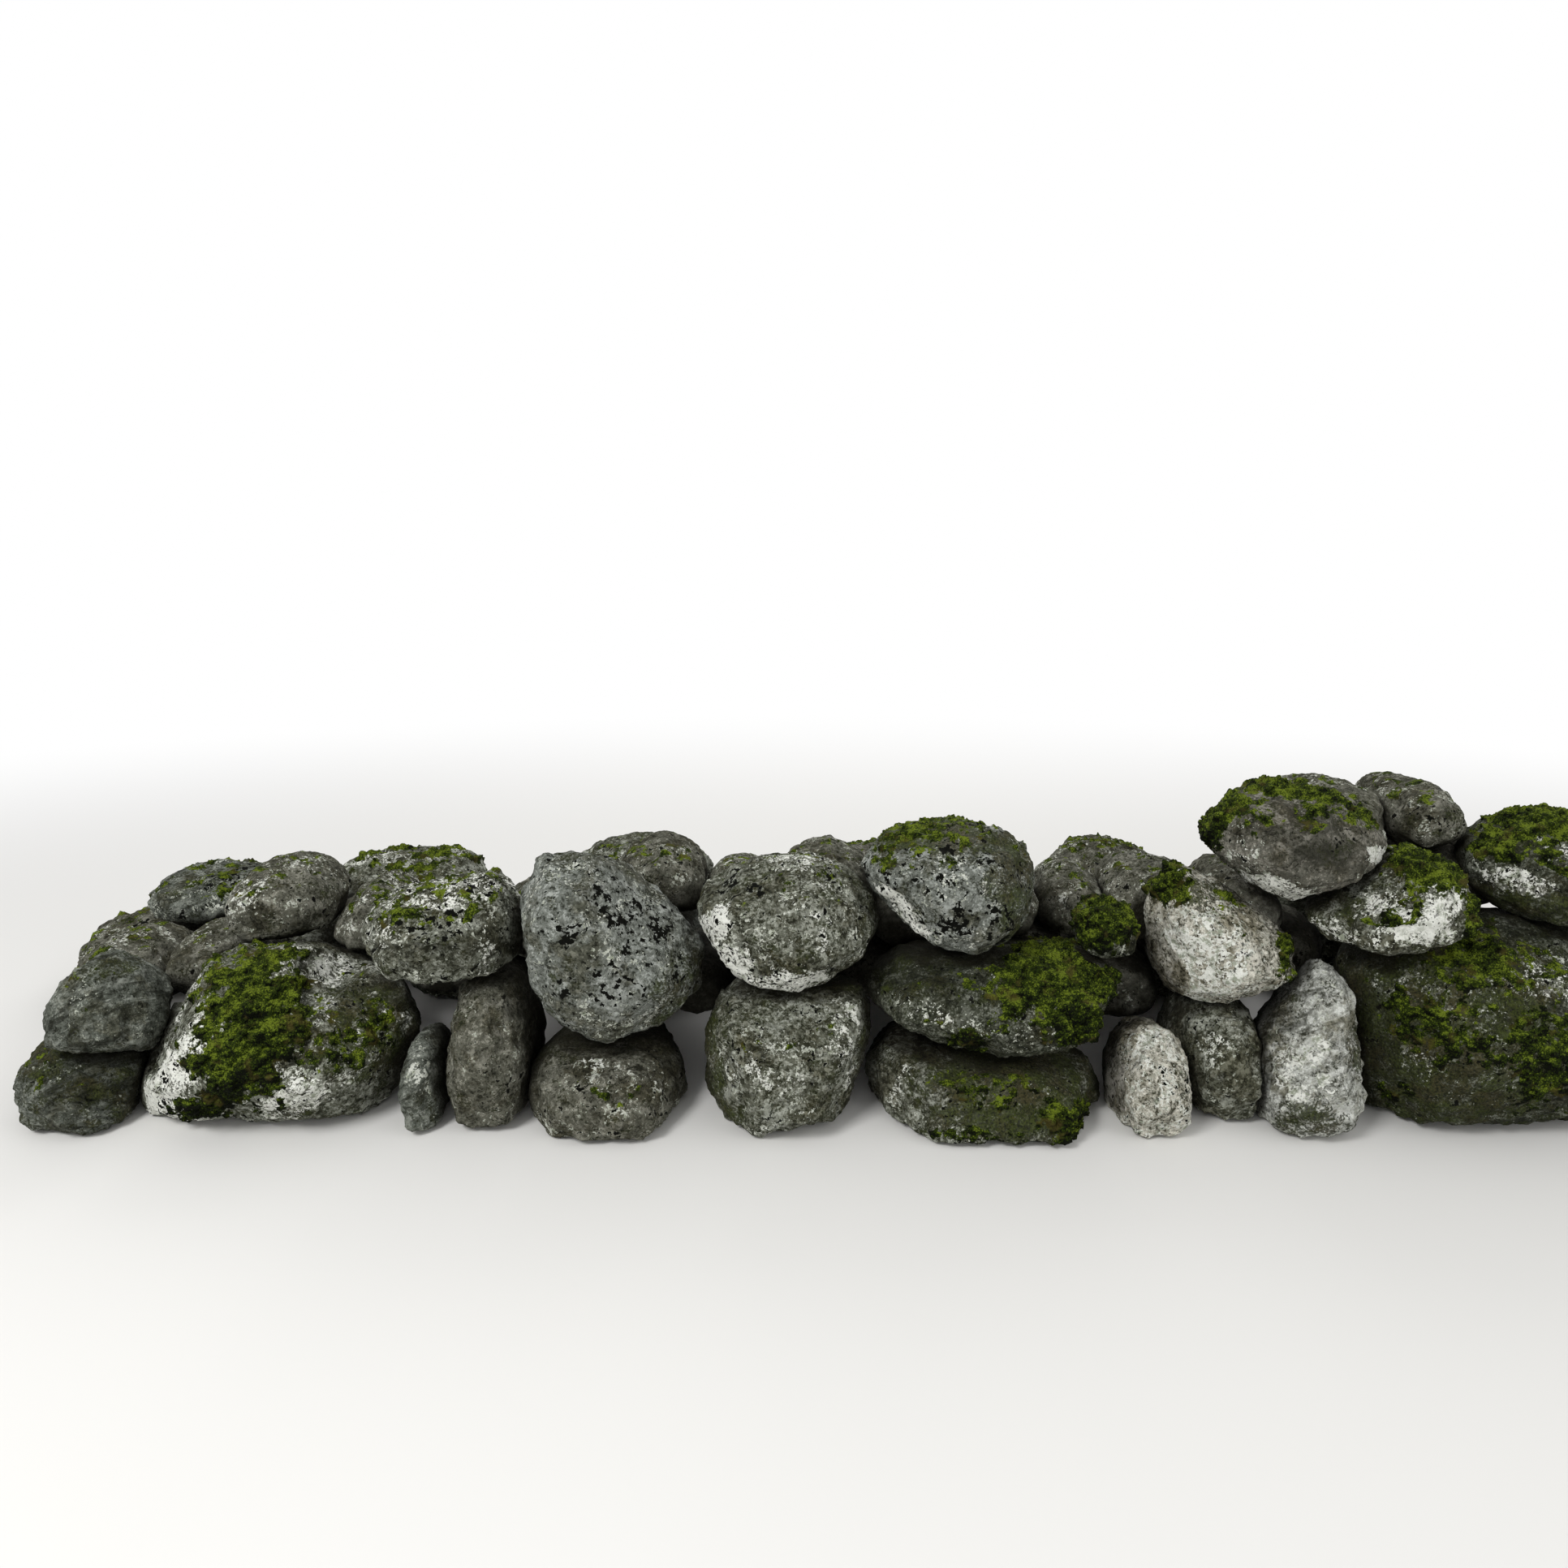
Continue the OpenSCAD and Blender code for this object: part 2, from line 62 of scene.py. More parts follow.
def setCamera(values):
    data = bpy.data.cameras.new("wallCamera")
    data.lens = values["lens"]
    data.sensor_width = values["sensor"]
    camera = addObject("wallCamera", data)
    camera.location = values["place"]
    camera.rotation_euler = (math.radians(90 - values["pitch"]), 0, 0)
    scene.camera = camera


setCamera(cameraSet)

# Node helpers: a socket takes a plain value or the output of another node


def addNode(tree, kind, sockets=None, **settings):
    node = tree.nodes.new(kind)
    for name, value in settings.items():
        setattr(node, name, value)
    for name, value in (sockets or {}).items():
        if isinstance(value, bpy.types.NodeSocket):
            tree.links.new(value, node.inputs[name])
        else:
            node.inputs[name].default_value = value
    return node


def emptyTree(owner):
    owner.use_nodes = True
    owner.node_tree.nodes.clear()
    return owner.node_tree


def sums(tree, work, first, second, clamp=False):
    node = addNode(tree, "ShaderNodeMath", {0: first, 1: second}, operation=work, use_clamp=clamp)
    return node.outputs[0]


def plus(tree, first, second, clamp=False):
    return sums(tree, "ADD", first, second, clamp)


def times(tree, first, second):
    return sums(tree, "MULTIPLY", first, second)


def weighed(tree, weights, *values):
    # the sum of the values, each times its weight
    total = None
    for weight, value in zip(weights, values):
        part = times(tree, value, weight)
        total = part if total is None else plus(tree, total, part)
    return total


def vectorSums(tree, work, sockets):
    return addNode(tree, "ShaderNodeVectorMath", sockets, operation=work).outputs[0]


def ramp(tree, value, start, end, low=0.0, high=1.0):
    sockets = {"Value": value, "From Min": start, "From Max": end, "To Min": low, "To Max": high}
    return addNode(tree, "ShaderNodeMapRange", sockets, interpolation_type="SMOOTHSTEP").outputs["Result"]


def blend(tree, share, first, second, way="MIX"):
    # a mix node keeps its two colours in sockets 6 and 7 and the blend of them in output 2
    node = addNode(tree, "ShaderNodeMix", {0: share, 6: first, 7: second}, data_type="RGBA", blend_type=way)
    return node.outputs[2]


def cloud(tree, place, scale, detail, roughness, distortion=0.0):
    sockets = {"Vector": place, "Scale": scale, "Detail": detail, "Roughness": roughness,
               "Distortion": distortion}
    return addNode(tree, "ShaderNodeTexNoise", sockets).outputs[0]


def cells(tree, place, scale):
    return addNode(tree, "ShaderNodeTexVoronoi", {"Vector": place, "Scale": scale}).outputs


def cellRandom(tree, place, scale):
    # two draws for each cell, and how far its middle is
    cell = cells(tree, place, scale)
    split = addNode(tree, "ShaderNodeSeparateColor", {"Color": cell["Color"]})
    return split.outputs[0], split.outputs[1], cell["Distance"]


def wobble(tree, place, scale, amount):
    # the place pushed aside by a little noise, so that cells lose their straight edges
    shift = addNode(tree, "ShaderNodeTexNoise", {"Vector": place, "Scale": scale, "Detail": 2.0})
    centred = vectorSums(tree, "SUBTRACT", {0: shift.outputs["Color"], 1: (0.5, 0.5, 0.5)})
    sized = vectorSums(tree, "SCALE", {0: centred, "Scale": amount})
    return vectorSums(tree, "ADD", {0: place, 1: sized})


def coverMask(tree, level, cover, values):
    # a growth shows where its level is over an edge, which sinks as the cover grows
    edge = sums(tree, "SUBTRACT", values["edge"], times(tree, cover, values["sink"]))
    mask = ramp(tree, level, edge, plus(tree, edge, values["soft"]), 0.0, values["most"])
    return times(tree, mask, ramp(tree, cover, *values["start"]))


def newGroup(name, inputs, outputs):
    tree = bpy.data.node_groups.new(name, "ShaderNodeTree")
    for side, sockets in (("INPUT", inputs), ("OUTPUT", outputs)):
        for label, kind in sockets.items():
            tree.interface.new_socket(name=label, in_out=side, socket_type="NodeSocket" + kind)
    start = tree.nodes.new("NodeGroupInput")
    end = tree.nodes.new("NodeGroupOutput")
    return tree, start.outputs, end.inputs


def useGroup(tree, group, sockets):
    return addNode(tree, "ShaderNodeGroup", sockets, node_tree=group).outputs


def tone(red, green, blue):
    # a colour as read off a colour chart, 0 to 255, turned to the linear values that the nodes want
    shares = [channel / 255 for channel in (red, green, blue)]
    return tuple([s / 12.92 if s <= 0.04045 else ((s + 0.055) / 1.055) ** 2.4 for s in shares] + [1.0])


# Shader groups that the stones share, with their values
# a cloud is its repeats in a metre, detail and roughness; a wobble is its repeats and its reach in metres;
# an edge is where a ramp starts and ends, and what it gives at the two ends unless that is 0 and 1

crystalSet = {
    "wobble": (120.0, 0.003), "finer": 2.1, "mottle": (4.0, 0.74), "weights": (0.34, 0.2, 1.5),
    "middle": 1.02, "midEdge": (0.12, 0.48), "paleEdge": (0.5, 0.88),
    "pepperMottle": 0.35, "pepperSoft": 0.07, "pepperShare": 0.75,
}


def crystalGroup(values):
    tree, given, out = newGroup(
        "crystal grain",
        {"Place": "Vector", "Crystal": "Float", "Mottle": "Float", "Pale": "Color", "Mid": "Color",
         "Dark": "Color", "Pepper": "Float", "Contrast": "Float"},
        {"Color": "Color"})
    place = wobble(tree, given["Place"], *values["wobble"])
    fine = sums(tree, "DIVIDE", 1.0, given["Crystal"])
    big, other, _ = cellRandom(tree, place, fine)
    small, _, _ = cellRandom(tree, place, times(tree, fine, values["finer"]))
    mottle = cloud(tree, given["Place"], sums(tree, "DIVIDE", 1.0, given["Mottle"]), *values["mottle"])
    mixed = weighed(tree, values["weights"], big, small, mottle)
    centred = sums(tree, "SUBTRACT", mixed, values["middle"])
    level = plus(tree, times(tree, centred, given["Contrast"]), 0.5)
    lower = blend(tree, ramp(tree, level, *values["midEdge"]), given["Dark"], given["Mid"])
    whole = blend(tree, ramp(tree, level, *values["paleEdge"]), lower, given["Pale"])
    # dark crystals strewn like pepper
    strewn = plus(tree, other, times(tree, mottle, values["pepperMottle"]))
    soft = plus(tree, given["Pepper"], values["pepperSoft"])
    peppered = ramp(tree, strewn, given["Pepper"], soft, values["pepperShare"], 0.0)
    tree.links.new(blend(tree, peppered, whole, given["Dark"]), out["Color"])
    return tree


crustSet = {
    "white": tone(227, 228, 220), "green": tone(146, 152, 134),
    "wobble": (40.0, 0.008), "ragged": (1 / 0.035, 4.0, 0.8), "grain": (105.0, 2.0, 0.75),
    "weights": (0.58, 0.42), "edge": 0.635, "sink": 0.18, "soft": 0.03, "most": 1.0, "start": (0.02, 0.12),
    "dotWobble": (160.0, 0.004), "dots": 95.0, "dotEdge": (0.44, 0.3), "dotPick": (0.7, 0.74),
    "dotShare": 0.9, "hue": (60.0, 3.0, 0.75), "hueEdge": (0.46, 0.62),
    "strongEdge": (1.5, 0.9, 0.2, 1.0), "thinEdge": (0.8, 0.4, 0.0, 0.7),
}


def crustGroup(values):
    tree, given, out = newGroup(
        "lichen crust", {"Place": "Vector", "Cover": "Float"}, {"Color": "Color", "Mask": "Float"})
    place = given["Place"]
    bent = wobble(tree, place, *values["wobble"])
    ragged = cloud(tree, bent, *values["ragged"])
    grain = cloud(tree, bent, *values["grain"])
    level = weighed(tree, values["weights"], ragged, grain)
    mask = coverMask(tree, level, given["Cover"], values)
    # small round gaps in the crust
    dots, _, far = cellRandom(tree, wobble(tree, place, *values["dotWobble"]), values["dots"])
    dotted = times(tree, ramp(tree, far, *values["dotEdge"]), ramp(tree, dots, *values["dotPick"]))
    mask = times(tree, mask, sums(tree, "SUBTRACT", 1.0, times(tree, dotted, values["dotShare"])))
    # white where the cover is strong, and greener where it is thin
    hue = ramp(tree, cloud(tree, place, *values["hue"]), *values["hueEdge"])
    tinted = times(tree, hue, ramp(tree, given["Cover"], *values["strongEdge"]))
    greener = sums(tree, "MAXIMUM", tinted, ramp(tree, given["Cover"], *values["thinEdge"]))
    tree.links.new(blend(tree, greener, values["white"], values["green"]), out["Color"])
    tree.links.new(mask, out["Mask"])
    return tree


spotSet = {
    "blot": (1 / 0.0175, 3.0, 0.62), "herd": (15.0, 2.0, 0.5), "weights": (0.68, 0.32),
    "edge": 0.622, "sink": 0.15, "soft": 0.012, "most": 1.0, "start": (0.0, 0.1),
}


def spotGroup(values):
    tree, given, out = newGroup("black spots", {"Place": "Vector", "Cover": "Float"}, {"Mask": "Float"})
    place = given["Place"]
    blot = cloud(tree, place, *values["blot"])
    herd = cloud(tree, place, *values["herd"])
    level = weighed(tree, values["weights"], blot, herd)
    tree.links.new(coverMask(tree, level, given["Cover"], values), out["Mask"])
    return tree


filmSet = {
    "green": tone(62, 70, 30), "brown": tone(70, 66, 42), "black": (0.012, 0.014, 0.006, 1.0),
    "broad": (26.0, 4.0, 0.7), "fine": (170.0, 1.0, 0.7), "weights": (0.5, 0.5),
    "edge": 0.62, "sink": 0.21, "soft": 0.1, "most": 0.85, "start": (0.02, 0.15),
    "hue": (14.0, 2.0, 0.6), "hueEdge": (0.4, 0.64), "blackEdge": (0.35, 0.7),
}


def filmGroup(values):
    tree, given, out = newGroup(
        "green film", {"Place": "Vector", "Cover": "Float"}, {"Color": "Color", "Mask": "Float"})
    place = given["Place"]
    broad = cloud(tree, place, *values["broad"])
    fine = cloud(tree, place, *values["fine"])
    level = weighed(tree, values["weights"], broad, fine)
    hue = ramp(tree, cloud(tree, place, *values["hue"]), *values["hueEdge"])
    colour = blend(tree, hue, values["green"], values["brown"])
    colour = blend(tree, ramp(tree, fine, *values["blackEdge"]), colour, values["black"])
    tree.links.new(colour, out["Color"])
    tree.links.new(coverMask(tree, level, given["Cover"], values), out["Mask"])
    return tree


mossSet = {
    # the depth tone is partly painted shade between tufts, and the tip tone partly a painted highlight
    "tipAndHighlight": tone(100, 114, 32), "leaf": tone(37, 48, 8), "depth": tone(7, 10, 2), "dry": tone(70, 64, 30),
    "ragged": (85.0, 3.0, 0.75), "torn": 0.8, "edge": (0.34, 0.44),
    "wobble": (150.0, 0.004), "tufts": 190.0, "tuftEdge": (0.75, 0.05),
    "clump": (30.0, 4.0, 0.62), "strand": (380.0, 0.0, 0.6), "weights": (0.3, 1.9, 0.6),
    # the sky edge lightens moss that faces up and darkens moss that faces down: painted light
    "paintedSkyLightEdge": (-0.4, 1.0, -1.08, -0.7), "leafEdge": (0.22, 0.5), "tipEdge": (0.52, 0.92),
    "dryPlaces": (18.0, 2.0, 0.7), "dryEdge": (0.56, 0.7, 0.0, 0.75),
}


def mossGroup(values):
    tree, given, out = newGroup(
        "moss pile", {"Place": "Vector", "Cover": "Float", "Upward": "Float"},
        {"Color": "Color", "Mask": "Float"})
    place = given["Place"]
    ragged = cloud(tree, place, *values["ragged"])
    torn = times(tree, sums(tree, "SUBTRACT", ragged, 0.5), values["torn"])
    mask = ramp(tree, plus(tree, given["Cover"], torn), *values["edge"])
    tuft = cells(tree, wobble(tree, place, *values["wobble"]), values["tufts"])["Distance"]
    tuft = ramp(tree, tuft, *values["tuftEdge"])
    clump = cloud(tree, place, *values["clump"])
    strand = cloud(tree, place, *values["strand"])
    level = weighed(tree, values["weights"], tuft, clump, strand)
    # painted light: the level is raised on tufts that face up and lowered on those that face down, so tops
    # read as lit and undersides as shaded
    level = plus(tree, level, ramp(tree, given["Upward"], *values["paintedSkyLightEdge"]))
    # painted shade and highlight: the near-black depth between tufts is partly the darker inner moss and
    # partly painted shade, and the tip tone is partly the tips' own paler green and partly a painted
    # highlight
    body = blend(tree, ramp(tree, level, *values["leafEdge"]), values["depth"], values["leaf"])
    colour = blend(tree, ramp(tree, level, *values["tipEdge"]), body, values["tipAndHighlight"])
    dry = ramp(tree, cloud(tree, place, *values["dryPlaces"]), *values["dryEdge"])
    tree.links.new(blend(tree, dry, colour, values["dry"]), out["Color"])
    tree.links.new(mask, out["Mask"])
    return tree


streakSet = {"turn": (0.5, 0.45, 0.0), "stretch": (0.16, 0.16, 1.0), "fine": (55.0, 3.0, 0.62, 0.4)}


def streakGroup(values):
    tree, given, out = newGroup("layer streaks", {"Place": "Vector"}, {"Value": "Float"})
    turned = addNode(tree, "ShaderNodeVectorRotate", {"Vector": given["Place"], "Rotation": values["turn"]},
                     rotation_type="EULER_XYZ").outputs[0]
    stretched = vectorSums(tree, "MULTIPLY", {0: turned, 1: values["stretch"]})
    tree.links.new(cloud(tree, stretched, *values["fine"]), out["Value"])
    return tree


crystals = crystalGroup(crystalSet)
crusts = crustGroup(crustSet)
spots = spotGroup(spotSet)
films = filmGroup(filmSet)
mosses = mossGroup(mossSet)
streaks = streakGroup(streakSet)
print("shader groups ready")

# One finish for each kind of stone

finishes = {
    "blueGranite": {
        "slot": "granite", "pale": tone(164, 168, 162), "mid": tone(110, 114, 107), "dark": tone(46, 48, 41),
        "crystal": 0.0075, "mottle": 0.022, "pepper": 0.12, "contrast": 1.15, "streak": 0.0, "rough": 0.82},
    "oliveGranite": {
        "slot": "granite", "pale": tone(162, 165, 154), "mid": tone(98, 100, 87), "dark": tone(46, 47, 36),
        "crystal": 0.009, "mottle": 0.028, "pepper": 0.14, "contrast": 1.55, "streak": 0.1, "rough": 0.85},
    "lichenedGranite": {
        "slot": "lichened_stone",
        "pale": tone(152, 155, 144), "mid": tone(95, 97, 85), "dark": tone(40, 41, 31),
        "crystal": 0.0075, "mottle": 0.03, "pepper": 0.12, "contrast": 1.5, "streak": 0.1, "rough": 0.88},
    "mossyGranite": {
        "slot": "mossy_stone", "pale": tone(112, 115, 104), "mid": tone(58, 61, 49), "dark": tone(24, 26, 18),
        "crystal": 0.0065, "mottle": 0.03, "pepper": 0.14, "contrast": 1.35, "streak": 0.1, "rough": 0.86},
    "schist": {
        "slot": "schist", "pale": tone(148, 152, 143), "mid": tone(88, 92, 84), "dark": tone(26, 28, 20),
        "crystal": 0.005, "mottle": 0.05, "pepper": 0.04, "contrast": 1.0, "streak": 0.75, "rough": 0.8},
    "paleGranite": {
        "slot": "pale_granite",
        "pale": tone(220, 217, 205), "mid": tone(168, 166, 152), "dark": tone(64, 62, 50),
        "crystal": 0.0065, "mottle": 0.02, "pepper": 0.2, "contrast": 1.4, "streak": 0.1, "rough": 0.85},
    "brownGranite": {
        "slot": "granite", "pale": tone(150, 147, 136), "mid": tone(88, 87, 78), "dark": tone(36, 36, 28),
        "crystal": 0.006, "mottle": 0.06, "pepper": 0.06, "contrast": 1.0, "streak": 0.1, "rough": 0.75},
    "bandedGranite": {
        "slot": "granite", "pale": tone(222, 224, 218), "mid": tone(162, 164, 156), "dark": tone(56, 57, 47),
        "crystal": 0.006, "mottle": 0.04, "pepper": 0.06, "contrast": 1.1, "streak": 0.7, "rough": 0.82},
    "coreStone": {
        "slot": "dark_stone", "pale": tone(146, 145, 133), "mid": tone(92, 92, 81), "dark": tone(36, 36, 28),
        "crystal": 0.007, "mottle": 0.035, "pepper": 0.1, "contrast": 1.0, "streak": 0.15, "rough": 0.88},
}
skinSet = {
    "lineEdge": (0.54, 0.66), "lightEdge": (0.44, 0.34), "lightShare": 0.8,
    "stains": (9.0, 5.0, 0.7), "stainEdge": (0.46, 0.6, 0.0, 0.75), "stainTone": tone(140, 134, 108),
    "bleached": (15.0, 4.0, 0.72), "bleachedEdge": (0.54, 0.66, 0.0, 0.65), "ridgeShare": 0.5,
    # the hidden tone and edge paint shade where a point sees little sky past the other stones
    "spotTone": tone(8, 9, 5), "hiddenShadeTone": tone(30, 28, 20), "hiddenShadeEdge": (0.05, 0.42, 0.8, 0.0),
    "rock": (70.0, 4.0, 0.75), "tufts": (190.0, 1.0, 0.6), "bumpHigh": 0.012, "bump": 0.9,
    "specular": 0.1, "mattShare": 0.2,
}


def stoneMaterial(name, finish, skin):
    material = bpy.data.materials.new(name)
    tree = emptyTree(material)
    place = addNode(tree, "ShaderNodeTexCoord").outputs["Object"]
    cover = {}
    for kind in ("moss", "pale", "spots", "film", "open", "shade", "ridge", "hollow"):
        cover[kind] = addNode(tree, "ShaderNodeAttribute", attribute_name=kind + "Cover").outputs["Fac"]
    sockets = {"Place": place}
    for key in ("crystal", "mottle", "pale", "mid", "dark", "pepper", "contrast"):
        sockets[key.capitalize()] = finish[key]
    colour = useGroup(tree, crystals, sockets)["Color"]
    # dark and pale layers
    layer = useGroup(tree, streaks, {"Place": place})["Value"]
    lines = times(tree, ramp(tree, layer, *skin["lineEdge"]), finish["streak"])
    colour = blend(tree, lines, colour, finish["dark"])
    lights = times(tree, ramp(tree, layer, *skin["lightEdge"]), finish["streak"] * skin["lightShare"])
    colour = blend(tree, lights, colour, finish["pale"])
    # broad brown stains, bleached places, ridges paler than the rest, and painted shade that darkens hollows,
    # cracks and the listed shade patches
    stained = ramp(tree, cloud(tree, place, *skin["stains"]), *skin["stainEdge"])
    colour = blend(tree, stained, colour, skin["stainTone"], "MULTIPLY")
    bleached = ramp(tree, cloud(tree, place, *skin["bleached"]), *skin["bleachedEdge"])
    colour = blend(tree, bleached, colour, finish["pale"])
    colour = blend(tree, times(tree, cover["ridge"], skin["ridgeShare"]), colour, finish["pale"])
    # painted shade: hollows, cracks and the shade patches are darkened towards the finish's dark tone
    shaded = sums(tree, "MAXIMUM", cover["shade"], cover["hollow"])
    colour = blend(tree, shaded, colour, finish["dark"])
    # what grows on the stone, from the bottom up
    for group, kind in ((crusts, "pale"), (films, "film")):
        layer = useGroup(tree, group, {"Place": place, "Cover": cover[kind]})
        colour = blend(tree, layer["Mask"], colour, layer["Color"])
    spot = useGroup(tree, spots, {"Place": place, "Cover": cover["spots"]})["Mask"]
    colour = blend(tree, spot, colour, skin["spotTone"])
    # painted shade: points that see little sky past the other stones are darkened towards a near-black tone
    hiddenShade = ramp(tree, cover["open"], *skin["hiddenShadeEdge"])
    colour = blend(tree, hiddenShade, colour, skin["hiddenShadeTone"])
    # how far the surface faces up, used only for the painted light on the moss
    facing = addNode(tree, "ShaderNodeNewGeometry").outputs["Normal"]
    upward = addNode(tree, "ShaderNodeSeparateXYZ", {"Vector": facing}).outputs["Z"]
    moss = useGroup(tree, mosses, {"Place": place, "Cover": cover["moss"], "Upward": upward})
    colour = blend(tree, moss["Mask"], colour, moss["Color"])
    rock = times(tree, cloud(tree, place, *skin["rock"]), skin["bumpHigh"])
    tufts = times(tree, cloud(tree, place, *skin["tufts"]), skin["bumpHigh"])
    # a mix node keeps its two numbers in sockets 2 and 3
    numbers = {0: cover["moss"], 2: rock, 3: tufts}
    relief = addNode(tree, "ShaderNodeMix", numbers, data_type="FLOAT").outputs[0]
    bump = addNode(tree, "ShaderNodeBump", {"Strength": skin["bump"], "Distance": 1.0, "Height": relief})
    # moss and spots are rougher than the rock
    matt = times(tree, sums(tree, "MAXIMUM", moss["Mask"], spot), skin["mattShare"])
    shader = addNode(tree, "ShaderNodeBsdfPrincipled", {
        "Base Color": colour, "Roughness": plus(tree, finish["rough"], matt, True),
        "Specular IOR Level": skin["specular"], "Normal": bump.outputs[0]})
    addNode(tree, "ShaderNodeOutputMaterial", {"Surface": shader.outputs[0]})
    return material


materials = {name: stoneMaterial(name, finish, skinSet) for name, finish in finishes.items()}
print("stone finishes ready:", len(materials))

# Looks of each stone, as it shows from its own side of the wall
# a patch is (across, up, half width, half height, strength), in per cent of the outline, and if it is turned
# its turn in degrees; a dent is the same with its depth in millimetres for the strength;
# a crack is a depth in millimetres and the points it runs through, in per cent;
# a chip is the side it is struck from and how much of the stone goes, in per cent;
# ledges is how far its layers step back, in metres;
# base is how much crust, film and spots the stone has where no patch lies;
# a slot is given where it isn't the usual one of the finish

